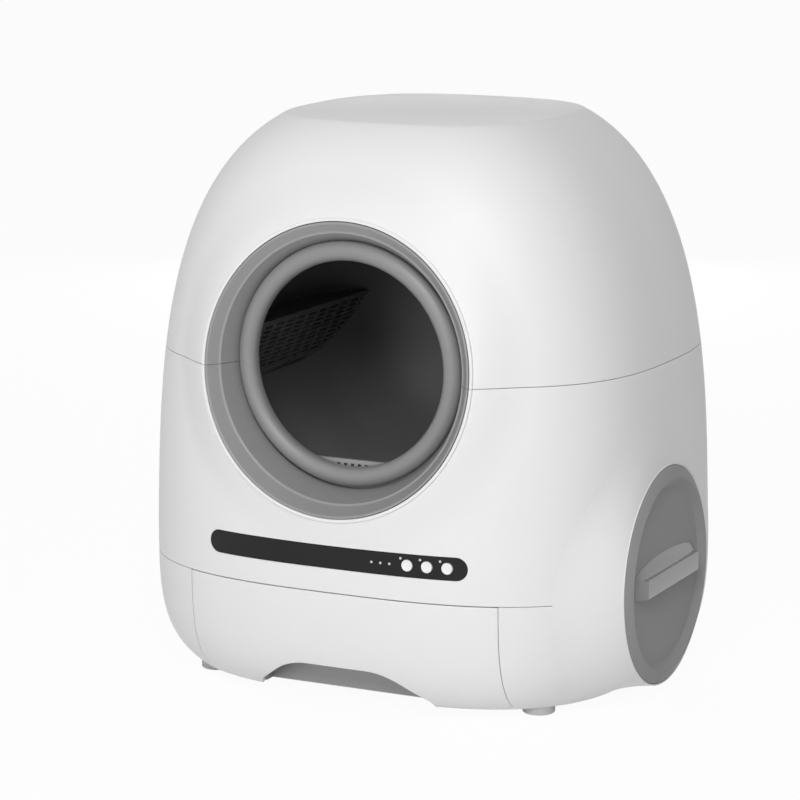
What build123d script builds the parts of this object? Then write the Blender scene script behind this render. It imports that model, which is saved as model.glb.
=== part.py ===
"""Self-cleaning litter box: domed housing, turning drum, waste drawer and odour filter.

Millimetres, +Z up, the entrance faces -Y. The origin is on the floor below the drum's axis plane.
"""
import os
from math import atan2, cos, degrees, pi, radians, sin, sqrt

from build123d import *

os.makedirs("parts", exist_ok=True)

# Outline of the housing
HEIGHT = 600.0
BASE_CLEAR = 9.0
HALF_WIDTH = 285.0
FRONT_DEPTH = 247.0
BACK_DEPTH = 251.0
BELLY_Z = 160.0
SIDE_TAPER = 0.02
SIDE_POWER = 2.9
SIDE_OVERRUN = 26.0
END_POWER = 3.8
END_OVERRUN = 21.0
TUCK_POWER = 4.0
TUCK_OVERRUN = 34.0
PLAN_POWER_FRONT = 2.9
PLAN_POWER_BACK = 2.75
PLAN_POINTS = 40
LOFT_SECTIONS = 14

# Walls and gaps
WALL = 3.5
FLOOR = 3.0
SEAM = 0.5
FIT_GAP = 0.3
COVER_SPLIT_Z = 347.0
LEDGE_WIDTH = 10.5
LEDGE_THICK = 8.0

# Entrance surround
BEZEL_Z = 357.0
BEZEL_Y = -238.0
BEZEL_TILT = 6.3
BEZEL_R = 150.0
BEZEL_EDGE = 2.5
BEZEL_STEP_DEPTH = 11.0
BEZEL_STEP_TILT = 4.0
BEZEL_STEP_R = 139.5
BEZEL_STEP = 2.0
BEZEL_BACK_WALL = 3.5
MOUTH_GAP = 4.5
COLLAR_WALL = 4.5
COLLAR_FLARE = 8.0
COLLAR_DEPTH = 32.0
COLLAR_GAP = 0.4
COLLAR_CLEAR = 6.0

# Drum
DRUM_Z = 358.0
DRUM_R = 185.0
DRUM_WALL = 3.0
DRUM_FRONT_Y = -200.0
DRUM_REAR_Y = 158.0
DRUM_SPLIT_Y = -30.0
TRACK_R = 150.0
TRACK_LENGTH = 42.0
FRONT_SHOULDER = 58.0
REAR_SHOULDER = 98.0
REAR_FACE_R = 128.0
MOUTH_R = 107.0
LIP_R = 10.0
LIP_STRAIGHT = 3.0
FLANGE_HEIGHT = 8.0
FLANGE_THICK = 4.0
DRUM_SCREWS = 8
DRUM_SCREW_R = 1.5
PORT_LENGTH = 110.0
PORT_ANGLE = 125.0
PORT_WIDTH = 120.0

# Sieve and sill inside the drum
SIEVE_TOP_X = -140.0
SIEVE_TOP_Z = 20.0
SIEVE_DROP = 69.0
SIEVE_LEAN = 35.0
SIEVE_THICK = 2.5
SIEVE_SLOT_LENGTH = 19.0
SIEVE_SLOT_HEIGHT = 3.2
SIEVE_COLUMN_PITCH = 25.0
SIEVE_ROW_PITCH = 6.0
SIEVE_COLUMNS = 12
SIEVE_ROWS = 11
SIEVE_MARGIN = 6.0
SIEVE_PULL_R = 4.5
SIEVE_PULL_Y = -4.0
SILL_DROP = 101.0
SILL_R = 124.0
SILL_THICK = 4.0
SILL_SLOT = 4.0
SILL_SLOTS = 9

# Drum drive and support
GEAR_MODULE = 3.0
RING_TEETH = 80
PINION_TEETH = 16
GEAR_WIDTH = 12.0
RING_RIM = 14.0
PINION_ANGLE = 30.0
BACKLASH = 0.12
SHAFT_R = 4.0
AXLE_R = 10.0
RUNNING_GAP = 0.05
FRAME_GAP = 14.0
FRAME_THICK = 8.0
FRAME_SIDE = 46.0
FRAME_FOOT = 22.0
BUSH_WALL = 4.0
MOTOR_R = 21.0
GEARBOX_LENGTH = 20.0
MOTOR_CAN_R = 17.0
MOTOR_LENGTH = 40.0
MOTOR_SCREW_DEPTH = 8.0
MOTOR_SCREW_RING = 15.5
ROLLER_R = 16.0
ROLLER_WIDTH = 16.0
ROLLER_ANGLE = 32.0
ROLLER_AXLE_R = 3.0
EAR_THICK = 4.0
EAR_WIDTH = 20.0

# Control strip
STRIP_Z = 165.0
STRIP_HALF = 148.0
STRIP_HEIGHT = 24.0
STRIP_SINK = 0.4
BUTTON_R = 6.0
BUTTON_X = 127.0
BUTTON_PITCH = 21.0
BUTTON_PROUD = 0.8
BUTTON_TRAVEL = 1.0
BUTTON_FLANGE = 1.2
LED_X = 46.0
LED_PITCH = 10.0
LED_R = 1.3
MARK_OFFSET = 7.0
BOARD_Y = -224.0
BOARD_THICK = 1.6
SWITCH_SIZE = 6.0
SWITCH_HEIGHT = 3.7
BOARD_TOP = 13.0

# Waste drawer
DRAWER_HALF = 177.0
DRAWER_TOP_Z = 127.0
DRAWER_CUT_Y = -185.0
CHEEK = 6.0
BIN_HALF = 165.0
BIN_FRONT_Y = -190.0
BIN_REAR_Y = 165.0
BIN_FLOOR_Z = 16.0
BIN_RIM_Z = 118.0
BIN_WALL = 2.5
BIN_FLANGE = 9.0
BAG_FRAME_WIDTH = 12.0
BAG_FRAME_THICK = 5.0
NOTCH_BOTTOM_HALF = 97.0
NOTCH_TOP_HALF = 55.0
NOTCH_TOP_Z = 46.0
NOTCH_FOOT_Z = 18.0
NOTCH_CORNER = 12.0
GRIP_WALL = 2.5
GRIP_HEIGHT = 62.0
RUNNER_WIDTH = 20.0
RUNNER_WALL = 3.0
RUNNER_HEIGHT = 28.0
RUNNER_GAP = 2.0

# Deck and chute
DECK_THICK = 4.0
DECK_INSET = 6.0
CHUTE_X = 220.0
CHUTE_Y = 200.0
CHUTE_WALL = 2.5
CHUTE_RISE = 20.0
CHUTE_FLANGE = 10.0
DECK_SCREW_R = 2.0

# Side filter port and cap
CAP_Y = -32.0
CAP_Z = 129.5
CAP_FACE_X = 289.0
CAP_R = 115.0
CAP_RIM_RISE = 6.0
CAP_RIM_WIDTH = 13.0
CAP_DISH_DRAFT = 3.0
CAP_DISH = 8.0
CAP_PLATE = 11.0
PORT_LIP = 1.6
PORT_FLARE_R = 46.0
PORT_FLARE_START = 12.0
PORT_FLARE_END = 60.0
PORT_FLARE_DROP = 5.5
PORT_FLARE_GAP = 0.1
PORT_BORE_R = 112.5
PORT_INNER_X = 184.0
PORT_END_WALL = 3.0
SPIGOT_R = 108.0
SPIGOT_WALL = 3.0
SPIGOT_LENGTH = 18.0
SEAL_SIZE = 4.0
GRIP_LENGTH = 170.0
GRIP_CREST_LENGTH = 141.0
GRIP_BASE = 36.0
GRIP_CREST = 20.0
GRIP_PROUD = 3.0
GRIP_EDGE = 3.0
FAN_SIZE = 82.0
FAN_DEPTH = 25.0
FAN_R = 38.0
FAN_HUB_R = 17.0
FAN_BLADES = 7
FAN_TIP_GAP = 2.0
BLADE_PITCH = 38.0
BLADE_THICK = 1.6
FAN_PIN_R = 3.0
FILTER_X = 224.0
FILTER_THICK = 24.0

# Feet, weight sensors and electrics
FOOT_X = 190.0
FOOT_Y = 148.0
FOOT_R = 17.0
CELL_LENGTH = 30.0
CELL_WIDTH = 12.0
CELL_HEIGHT = 6.0
INLET_X = 60.0
INLET_Z = 60.0
INLET_R = 8.0
INLET_LENGTH = 20.0
INLET_NUT_R = 11.0
INLET_NUT_THICK = 4.0
INLET_BORE_R = 4.0
INLET_PIN_R = 1.0
MAIN_BOARD = (100.0, 64.0)
MAIN_BOARD_AT = (-150.0, 150.0)
STANDOFF = 6.0
STANDOFF_R = 3.5

BIG = 900.0
DRUM_AXIS = Axis((0, 0, DRUM_Z), (0, 1, 0))
CAP_AXIS_POINT = (0, CAP_Y, CAP_Z)


def save(node, shape):
    """Write one named piece."""
    export_step(shape, f"parts/{node}.step")


def rise(z, overrun, power):
    """Share of the belly size left at height z, along one side of the outline."""
    if z >= BELLY_Z:
        reach = (z - BELLY_Z) / (HEIGHT - BELLY_Z + overrun)
        return (1 - reach**power) ** (1 / power)
    reach = (BELLY_Z - z) / (BELLY_Z - BASE_CLEAR + TUCK_OVERRUN)
    return (1 - reach**TUCK_POWER) ** (1 / TUCK_POWER)


def half_sizes(z, inset=0.0):
    """Half width, front depth and back depth of the housing at height z."""
    taper = SIDE_TAPER * max(z - BELLY_Z, 0)
    half = (HALF_WIDTH - taper) * rise(z, SIDE_OVERRUN, SIDE_POWER) - inset
    ends = rise(z, END_OVERRUN, END_POWER)
    return half, (FRONT_DEPTH - taper) * ends - inset, (BACK_DEPTH - taper) * ends - inset


def plan_point(z, inset, angle):
    """Point of the rounded plan outline at height z; angle 270 is the front."""
    half, front, back = half_sizes(z, inset)
    c, s = cos(radians(angle)), sin(radians(angle))
    power = PLAN_POWER_FRONT if s < 0 else PLAN_POWER_BACK
    depth = front if s < 0 else back
    x = half * abs(c) ** (2 / power) * (1 if c >= 0 else -1)
    y = depth * abs(s) ** (2 / power) * (1 if s >= 0 else -1)
    return Vector(x, y, z)


def front_y(x, z, inset=0.0):
    """The housing's front surface at a given width and height."""
    half, front, _ = half_sizes(z, inset)
    return -front * (1 - (abs(x) / half) ** PLAN_POWER_FRONT) ** (1 / PLAN_POWER_FRONT)


def back_y(x, z, inset=0.0):
    """The housing's rear surface at a given width and height."""
    half, _, back = half_sizes(z, inset)
    return back * (1 - (abs(x) / half) ** PLAN_POWER_BACK) ** (1 / PLAN_POWER_BACK)


def plan_wire(z, inset):
    """Closed plan outline at height z."""
    points = [plan_point(z, inset, 360 * i / PLAN_POINTS) for i in range(PLAN_POINTS)]
    return Wire([Edge.make_spline(points, periodic=True)])


def body(inset, bottom, top):
    """Solid of the housing's outline, drawn in by inset, between two heights."""
    span = top - bottom
    steps = [(1 - cos(pi * i / (LOFT_SECTIONS - 1))) / 2 for i in range(LOFT_SECTIONS)]
    return Part() + Solid.make_loft([plan_wire(bottom + span * s, inset) for s in steps])


def slab(bottom, top):
    """Wide block between two heights."""
    return Pos(0, 0, (bottom + top) / 2) * Box(BIG, BIG, top - bottom)


def block(x0, x1, y0, y1, z0, z1):
    """Box between two corners."""
    return Pos((x0 + x1) / 2, (y0 + y1) / 2, (z0 + z1) / 2) * Box(x1 - x0, y1 - y0, z1 - z0)


def rod_x(radius, x0, x1, y, z):
    """Cylinder along X."""
    return Pos((x0 + x1) / 2, y, z) * Rot(0, 90, 0) * Cylinder(radius, x1 - x0)


def rod_y(radius, y0, y1, x, z):
    """Cylinder along Y."""
    return Pos(x, (y0 + y1) / 2, z) * Rot(90, 0, 0) * Cylinder(radius, y1 - y0)


def rod_z(radius, z0, z1, x, y):
    """Cylinder along Z."""
    return Pos(x, y, (z0 + z1) / 2) * Cylinder(radius, z1 - z0)


def turned_y(*edges):
    """Solid turned about the drum's axis from a closed outline in (radius, y)."""
    outline = Curve() + list(edges)
    face = make_face(Plane.XY.offset(DRUM_Z) * outline)
    return revolve(face, DRUM_AXIS)


def turned_x(points):
    """Solid turned about the cap's axis from corners in (x, radius)."""
    corners = [(x, CAP_Y + r, CAP_Z) for x, r in points]
    face = make_face(Polyline(*corners, close=True))
    return revolve(face, Axis(CAP_AXIS_POINT, (1, 0, 0)))


def tilted(y, z, tilt):
    """Plane that looks out of the entrance, leaning back by tilt."""
    lean = radians(tilt)
    return Plane((0, y, z), x_dir=(1, 0, 0), z_dir=(0, -cos(lean), sin(lean)))


def ring_wire(plane, radius):
    """Circle on a plane."""
    return Wire([Edge.make_circle(radius, plane)])


def cone(plane_a, radius_a, plane_b, radius_b):
    """Straight loft between two circles."""
    return Part() + Solid.make_loft([ring_wire(plane_a, radius_a), ring_wire(plane_b, radius_b)], True)


# Housing solids that several pieces share
outer = body(0, BASE_CLEAR, HEIGHT)
inner = body(WALL, BASE_CLEAR + FLOOR, HEIGHT - WALL)
hollow = outer - inner

port_r = CAP_R + FIT_GAP + PORT_LIP
port_lip_x = CAP_FACE_X - CAP_RIM_RISE
port_hole = rod_x(port_r + FIT_GAP, PORT_INNER_X - WALL, BIG / 2, CAP_Y, CAP_Z)

face_plane = tilted(BEZEL_Y, BEZEL_Z, BEZEL_TILT)
collar_r = BEZEL_R + COLLAR_GAP + COLLAR_WALL
collar_back = face_plane.offset(-COLLAR_DEPTH)
collar = cone(face_plane, collar_r, collar_back, collar_r + COLLAR_FLARE)
collar &= block(-BIG, BIG, -BIG, DRUM_FRONT_Y - COLLAR_CLEAR, 0, BIG)
bore_r = BEZEL_R + COLLAR_GAP
bore = cone(face_plane.offset(COLLAR_DEPTH), bore_r, face_plane.offset(-2 * COLLAR_DEPTH), bore_r)


# Base tray with its ledge, open at the front for the drawer
def make_base_tray():
    cavity = inner & slab(0, DRAWER_TOP_Z - LEDGE_THICK)
    ledge_hole = body(WALL + LEDGE_WIDTH, BASE_CLEAR + FLOOR, HEIGHT - WALL)
    ledge_hole = ledge_hole & slab(DRAWER_TOP_Z - LEDGE_THICK - 1, DRAWER_TOP_Z + 1)
    tray = (outer & slab(0, DRAWER_TOP_Z)) - cavity - ledge_hole
    side = DRAWER_HALF + SEAM
    tray -= block(-side, side, -BIG, DRAWER_CUT_Y, -1, HEIGHT)
    tray -= port_hole
    wall_y = back_y(INLET_X, INLET_Z)
    tray -= rod_y(INLET_R + FIT_GAP, wall_y - 4 * WALL, wall_y + WALL, INLET_X, INLET_Z)
    for x, y in deck_screw_places():
        tray -= rod_z(DECK_SCREW_R + FIT_GAP, DRAWER_TOP_Z - 2 * LEDGE_THICK, DRAWER_TOP_Z + 1, x, y)
    return tray


def deck_screw_places():
    """Screw centres along the middle of the base's ledge."""
    at = WALL + LEDGE_WIDTH / 2 + DECK_INSET / 4
    points = [plan_point(DRAWER_TOP_Z, at, angle) for angle in (35, 90, 145, 215, 325)]
    return [(point.X, point.Y) for point in points]


# Lower and upper shells, with the collar round the entrance
def make_lower_shell():
    shell = (hollow & slab(DRAWER_TOP_Z + SEAM, COVER_SPLIT_Z - SEAM / 2)) - bore
    ring = (collar - bore) & slab(DRAWER_TOP_Z + SEAM, COVER_SPLIT_Z - SEAM / 2)
    shell = shell + ring
    shell -= port_hole
    shell -= strip_prism(FIT_GAP)
    for x in board_posts():
        root = front_y(x, board_post_z(), WALL / 2)
        shell += rod_y(STANDOFF_R, root, BOARD_Y, x, board_post_z())
    return shell


def make_upper_cover():
    shell = (hollow & slab(COVER_SPLIT_Z + SEAM / 2, HEIGHT)) - bore
    ring = (collar - bore) & slab(COVER_SPLIT_Z + SEAM / 2, HEIGHT)
    return shell + ring


# Two-step funnel round the entrance, parted with the shells
def make_bezel():
    back_r = MOUTH_R + 2 * LIP_R + MOUTH_GAP
    back_y0 = DRUM_FRONT_Y - LIP_STRAIGHT - MOUTH_GAP
    back = tilted(back_y0, DRUM_Z, 0)
    step_z = BEZEL_Z + (DRUM_Z - BEZEL_Z) / 2
    step = tilted(BEZEL_Y + BEZEL_STEP_DEPTH, step_z, BEZEL_STEP_TILT)
    solid = cone(face_plane, BEZEL_R, step, BEZEL_R - BEZEL_EDGE)
    solid += cone(step, BEZEL_R - BEZEL_EDGE, back, back_r + BEZEL_BACK_WALL)
    solid -= cone(face_plane, BEZEL_R - BEZEL_EDGE, step, BEZEL_STEP_R)
    solid -= cone(step, BEZEL_STEP_R - BEZEL_STEP, back, back_r)
    return solid


# Control strip let into the lower shell
def strip_prism(gap):
    """Long rounded bar through the front wall."""
    length = 2 * (STRIP_HALF + gap)
    height = STRIP_HEIGHT + 2 * gap
    outline = SlotOverall(length, height)
    plane = Plane((0, front_y(0, STRIP_Z) - WALL, STRIP_Z), x_dir=(1, 0, 0), z_dir=(0, -1, 0))
    depth = front_y(STRIP_HALF, STRIP_Z) - front_y(0, STRIP_Z) + 4 * WALL
    return extrude(plane * outline, amount=-depth)


def button_places():
    return [BUTTON_X - BUTTON_PITCH * i for i in (2, 1, 0)]


def lamp_places():
    """Status lamps in a row, and one small lamp up and left of each button."""
    row = [(LED_X + LED_PITCH * i, STRIP_Z) for i in range(3)]
    return row + [(x - MARK_OFFSET, STRIP_Z + MARK_OFFSET) for x in button_places()]


def make_control_lens():
    sunk = body(STRIP_SINK, BASE_CLEAR, HEIGHT)
    lens = (strip_prism(0) & sunk) - inner
    for x in button_places():
        lens -= rod_y(BUTTON_R + 1.5 * FIT_GAP, -BIG, BOARD_Y, x, STRIP_Z)
    for x, z in lamp_places():
        lens -= rod_y(LED_R + FIT_GAP / 2, -BIG, BOARD_Y, x, z)
    return lens


def make_button(x):
    face = front_y(x, STRIP_Z, STRIP_SINK) - BUTTON_PROUD
    flange = front_y(x + BUTTON_R + BUTTON_FLANGE, STRIP_Z, WALL) + 2 * FIT_GAP
    cap = fillet(rod_y(BUTTON_R, face, flange, x, STRIP_Z).faces().sort_by(Axis.Y)[0].edges(), BUTTON_R / 8)
    cap += rod_y(BUTTON_R + BUTTON_FLANGE, flange, flange + BUTTON_FLANGE, x, STRIP_Z)
    stem_end = BOARD_Y - SWITCH_HEIGHT - 1.2 * BUTTON_TRAVEL
    return cap + rod_y(BUTTON_R / 2, flange, stem_end, x, STRIP_Z)


def make_status_lamps():
    return [
        rod_y(LED_R, front_y(x, z, STRIP_SINK), BOARD_Y, x, z) for x, z in lamp_places()
    ]


def board_post_z():
    return STRIP_Z + STRIP_HEIGHT / 2 + BOARD_TOP - STANDOFF_R


def board_posts():
    return (LED_X, BUTTON_X)


def make_control_board():
    edge = 3 * LED_PITCH / 2
    return block(
        LED_X - edge, BUTTON_X + edge, BOARD_Y, BOARD_Y + BOARD_THICK,
        STRIP_Z - STRIP_HEIGHT / 2, STRIP_Z + STRIP_HEIGHT / 2 + BOARD_TOP,
    )


def make_button_switches():
    half = SWITCH_SIZE / 2
    return [
        block(x - half, x + half, BOARD_Y - SWITCH_HEIGHT, BOARD_Y, STRIP_Z - half, STRIP_Z + half)
        for x in button_places()
    ]


# Drum shells
def drum_shape(inset):
    """Solid of the drum's turned outline, drawn in by inset."""
    front, rear = DRUM_FRONT_Y + inset, DRUM_REAR_Y - inset
    track, belly = TRACK_R - inset, DRUM_R - inset
    track_end = DRUM_FRONT_Y + TRACK_LENGTH
    belly_start = track_end + FRONT_SHOULDER
    belly_end = DRUM_REAR_Y - REAR_SHOULDER
    rear_r = REAR_FACE_R - inset
    front_bow = ((track + belly) / 2 + (belly - track) / 5, (track_end + belly_start) / 2)
    rear_bow = ((rear_r + belly) / 2 + (belly - rear_r) / 4, (belly_end + rear) / 2 + REAR_SHOULDER / 9)
    return turned_y(
        Line((0, front), (track, front)),
        Line((track, front), (track, track_end)),
        ThreePointArc((track, track_end), front_bow, (belly, belly_start)),
        Line((belly, belly_start), (belly, belly_end)),
        ThreePointArc((belly, belly_end), rear_bow, (rear_r, rear)),
        Line((rear_r, rear), (0, rear)),
        Line((0, rear), (0, front)),
    )


drum_inside = drum_shape(DRUM_WALL)
drum_skin = drum_shape(0) - drum_inside


def flange_ring(y0, y1):
    top = DRUM_R + FLANGE_HEIGHT
    return rod_y(top, y0, y1, 0, DRUM_Z) - rod_y(DRUM_R - DRUM_WALL, y0 - 1, y1 + 1, 0, DRUM_Z)


def drum_screw_places():
    r = DRUM_R + FLANGE_HEIGHT / 2
    angles = [2 * pi * (i + 0.5) / DRUM_SCREWS for i in range(DRUM_SCREWS)]
    return [(r * cos(a), DRUM_Z + r * sin(a)) for a in angles]


def screw_holes(shape):
    for x, z in drum_screw_places():
        shape -= rod_y(DRUM_SCREW_R + FIT_GAP, DRUM_SPLIT_Y - 2 * FLANGE_THICK, DRUM_SPLIT_Y + 2 * FLANGE_THICK, x, z)
    return shape


def make_drum_front():
    shell = drum_skin & block(-BIG, BIG, -BIG, DRUM_SPLIT_Y, 0, BIG)
    shell += flange_ring(DRUM_SPLIT_Y - FLANGE_THICK, DRUM_SPLIT_Y)
    shell -= rod_y(MOUTH_R + LIP_STRAIGHT, -BIG, DRUM_FRONT_Y + 2 * DRUM_WALL, 0, DRUM_Z)
    return screw_holes(shell)


def make_drum_rear():
    shell = drum_skin & block(-BIG, BIG, DRUM_SPLIT_Y, BIG, 0, BIG)
    shell += flange_ring(DRUM_SPLIT_Y, DRUM_SPLIT_Y + FLANGE_THICK)
    port = block(0, 2 * DRUM_R, -PORT_LENGTH / 2, PORT_LENGTH / 2, -PORT_WIDTH / 2, PORT_WIDTH / 2)
    port_y = DRUM_SPLIT_Y + 3 * FLANGE_THICK + PORT_LENGTH / 2
    shell -= Pos(0, port_y, DRUM_Z) * Rot(0, -PORT_ANGLE, 0) * port
    shell -= rod_y(AXLE_R, -BIG, BIG, 0, DRUM_Z)
    return screw_holes(shell)


def make_mouth_ring():
    y0 = DRUM_FRONT_Y
    y1 = y0 - LIP_STRAIGHT
    r0, r1 = MOUTH_R, MOUTH_R + 2 * LIP_R
    return turned_y(
        Line((r0, y0), (r0, y1)),
        ThreePointArc((r0, y1), (r0 + LIP_R, y1 - LIP_R), (r1, y1)),
        Line((r1, y1), (r1, y0)),
        Line((r1, y0), (r0, y0)),
    )


def make_drum_screws():
    head = 2 * DRUM_SCREW_R
    y0, y1 = DRUM_SPLIT_Y - FLANGE_THICK, DRUM_SPLIT_Y + FLANGE_THICK
    return [
        rod_y(head, y0 - head, y0, x, z) + rod_y(DRUM_SCREW_R, y0 - head, y1 + head, x, z)
        for x, z in drum_screw_places()
    ]


# Slotted sieve plate along the drum's left wall, leaning out at its foot, with a shelf along its top
def make_sieve_screen():
    slope = sqrt(SIEVE_DROP**2 + SIEVE_LEAN**2)
    middle_y = (DRUM_FRONT_Y + DRUM_REAR_Y) / 2
    top_z = DRUM_Z + SIEVE_TOP_Z
    facing = Plane(
        (SIEVE_TOP_X, middle_y, top_z), x_dir=(0, 1, 0), z_dir=(SIEVE_DROP, 0, -SIEVE_LEAN)
    )
    sheet = Rectangle(DRUM_REAR_Y - DRUM_FRONT_Y, slope + DRUM_R / 4, align=(Align.CENTER, Align.MAX))
    plate = extrude(facing * sheet, amount=-SIEVE_THICK)
    rows_middle = -SIEVE_MARGIN - SIEVE_ROW_PITCH * SIEVE_ROWS / 2
    grid = GridLocations(SIEVE_COLUMN_PITCH, SIEVE_ROW_PITCH, SIEVE_COLUMNS, SIEVE_ROWS)
    slots = Sketch() + Pos(0, rows_middle) * grid * Rectangle(SIEVE_SLOT_LENGTH, SIEVE_SLOT_HEIGHT)
    cuts = extrude(facing * slots, amount=SIEVE_THICK, both=True)
    plate -= cuts & drum_shape(DRUM_WALL + FIT_GAP + SIEVE_MARGIN)
    shelf = block(-DRUM_R, SIEVE_TOP_X, DRUM_FRONT_Y, DRUM_REAR_Y, top_z - SIEVE_THICK, top_z)
    pull_x = SIEVE_TOP_X - 2 * SIEVE_PULL_R
    shelf -= rod_z(SIEVE_PULL_R, top_z - BIG, top_z + BIG, pull_x, SIEVE_PULL_Y)
    solid = (plate + shelf) & drum_shape(DRUM_WALL + FIT_GAP)
    return solid & slab(0, top_z)


# Slotted sill plate behind the entrance's lower edge
def make_sill_grate():
    back = DRUM_FRONT_Y + DRUM_WALL
    plate = rod_y(SILL_R, back, back + SILL_THICK, 0, DRUM_Z)
    plate &= block(-BIG, BIG, -BIG, BIG, 0, DRUM_Z - SILL_DROP)
    pitch = 2 * SILL_SLOT
    top = DRUM_Z - SILL_DROP - SILL_SLOT
    for i in range(SILL_SLOTS):
        x = (i - (SILL_SLOTS - 1) / 2) * pitch
        low = DRUM_Z - MOUTH_R + SILL_SLOT / 4
        plate -= block(x - SILL_SLOT / 2, x + SILL_SLOT / 2, -BIG, BIG, low - SILL_SLOT, top)
    return plate


# Gears: straight-flanked teeth with backlash
def gear_outline(teeth, phase, centre, y):
    """Face of a toothed disc; one tooth is centred on the phase angle."""
    pitch_r = GEAR_MODULE * teeth / 2
    tip, root = pitch_r + GEAR_MODULE, pitch_r - 1.25 * GEAR_MODULE
    quarter = pi / (2 * teeth)
    at_tip = quarter * (0.5 - BACKLASH)
    at_root = quarter * (1.5 - BACKLASH)
    points = []
    for i in range(teeth):
        middle = phase + 2 * pi * i / teeth
        for r, a in ((root, -at_root), (tip, -at_tip), (tip, at_tip), (root, at_root)):
            points.append((centre[0] + r * cos(middle + a), y, centre[1] + r * sin(middle + a)))
    return Face(Wire.make_polygon([Vector(*p) for p in points], close=True))


def pinion_direction():
    """Angle, in the XZ plane, from the drum's axis to the pinion."""
    return radians(PINION_ANGLE - 90)


def pinion_centre():
    reach = GEAR_MODULE * (RING_TEETH + PINION_TEETH) / 2
    a = pinion_direction()
    return reach * cos(a), DRUM_Z + reach * sin(a)


def make_ring_gear():
    phase = pinion_direction() + pi / RING_TEETH
    face = gear_outline(RING_TEETH, phase, (0, DRUM_Z), DRUM_REAR_Y)
    ring = extrude(face, amount=GEAR_WIDTH, dir=(0, 1, 0))
    bore_radius = GEAR_MODULE * RING_TEETH / 2 - RING_RIM
    return ring - rod_y(bore_radius, DRUM_REAR_Y - 1, DRUM_REAR_Y + GEAR_WIDTH + 1, 0, DRUM_Z)


def frame_front():
    return DRUM_REAR_Y + GEAR_WIDTH + FRAME_GAP


def make_drive_pinion():
    x, z = pinion_centre()
    face = gear_outline(PINION_TEETH, pinion_direction() + pi, (x, z), DRUM_REAR_Y + FIT_GAP)
    pinion = extrude(face, amount=GEAR_WIDTH - FIT_GAP, dir=(0, 1, 0))
    return pinion + rod_y(SHAFT_R, DRUM_REAR_Y + FIT_GAP, frame_front() + FRAME_THICK - FIT_GAP, x, z)


# Rear frame: carries the drum's axle bush and the gear motor
def deck_top():
    return DRAWER_TOP_Z + DECK_THICK


def make_rear_frame():
    y0 = frame_front()
    y1 = y0 + FRAME_THICK
    x, z = pinion_centre()
    foot = deck_top()
    frame = block(-x, x + FRAME_SIDE, y0, y1, foot, z + FRAME_SIDE)
    frame += block(-FRAME_SIDE, FRAME_SIDE, y0, y1, foot, DRUM_Z)
    frame += rod_y(FRAME_SIDE, y0, y1, 0, DRUM_Z)
    frame += block(-x, x + FRAME_SIDE, y0, y1 + FRAME_FOOT, foot, foot + FRAME_THICK)
    for rib_x in (-x, x + FRAME_SIDE - FRAME_THICK):
        frame += block(rib_x, rib_x + FRAME_THICK, y0, y1 + FRAME_FOOT / 2, foot, z)
    frame -= rod_y(AXLE_R + RUNNING_GAP + BUSH_WALL, y0 - 1, y1 + 1, 0, DRUM_Z)
    frame -= rod_y(2 * SHAFT_R, y0 - 1, y1 + 1, x, z)
    for hole_x, hole_z in motor_screw_places():
        frame -= rod_y(DRUM_SCREW_R + FIT_GAP, y0 - 1, y1 + 1, hole_x, hole_z)
    return frame


def make_axle_bush():
    y0 = frame_front()
    outside = AXLE_R + RUNNING_GAP + BUSH_WALL
    bush = rod_y(outside, y0, y0 + FRAME_THICK, 0, DRUM_Z)
    bush += rod_y(outside + BUSH_WALL, y0 - BUSH_WALL / 2, y0, 0, DRUM_Z)
    return bush - rod_y(AXLE_R + RUNNING_GAP, y0 - BIG, y0 + BIG, 0, DRUM_Z)


def make_drum_axle():
    y0 = DRUM_REAR_Y - DRUM_WALL
    axle = rod_y(AXLE_R, y0, frame_front() + FRAME_THICK + DRUM_WALL, 0, DRUM_Z)
    return axle + rod_y(2 * AXLE_R, y0 - 2 * DRUM_WALL, y0, 0, DRUM_Z)


def motor_screw_places():
    x, z = pinion_centre()
    angles = [pi / 4 + pi * i / 2 for i in range(4)]
    return [(x + MOTOR_SCREW_RING * cos(a), z + MOTOR_SCREW_RING * sin(a)) for a in angles]


def make_gear_motor():
    x, z = pinion_centre()
    y0 = frame_front() + FRAME_THICK
    motor = rod_y(MOTOR_R, y0, y0 + GEARBOX_LENGTH, x, z)
    motor += rod_y(MOTOR_CAN_R, y0, y0 + MOTOR_LENGTH, x, z)
    for hole_x, hole_z in motor_screw_places():
        motor -= rod_y(DRUM_SCREW_R + FIT_GAP, y0 - 1, y0 + MOTOR_SCREW_DEPTH + 1, hole_x, hole_z)
    return motor


def make_motor_screws():
    head = 2 * DRUM_SCREW_R
    y0 = frame_front()
    return [
        rod_y(head, y0 - head, y0, x, z)
        + rod_y(DRUM_SCREW_R, y0 - head, y0 + FRAME_THICK + MOTOR_SCREW_DEPTH, x, z)
        for x, z in motor_screw_places()
    ]


# Two rollers under the drum's front track
def roller_centre(side):
    reach = TRACK_R + FIT_GAP + ROLLER_R
    a = radians(ROLLER_ANGLE)
    return side * reach * sin(a), DRUM_Z - reach * cos(a)


def roller_y():
    return DRUM_FRONT_Y + TRACK_LENGTH / 2


def make_roller(side):
    x, z = roller_centre(side)
    half = ROLLER_WIDTH / 2
    roller = rod_y(ROLLER_R, roller_y() - half, roller_y() + half, x, z)
    ends = roller.edges().filter_by(GeomType.CIRCLE)
    roller = fillet(ends, ROLLER_R / 8)
    return roller - rod_y(ROLLER_AXLE_R + RUNNING_GAP, -BIG, BIG, x, z)


def make_roller_axles():
    reach = ROLLER_WIDTH / 2 + 2 * FIT_GAP + EAR_THICK
    return [
        rod_y(ROLLER_AXLE_R, roller_y() - reach, roller_y() + reach, *roller_centre(side))
        for side in (-1, 1)
    ]


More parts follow.
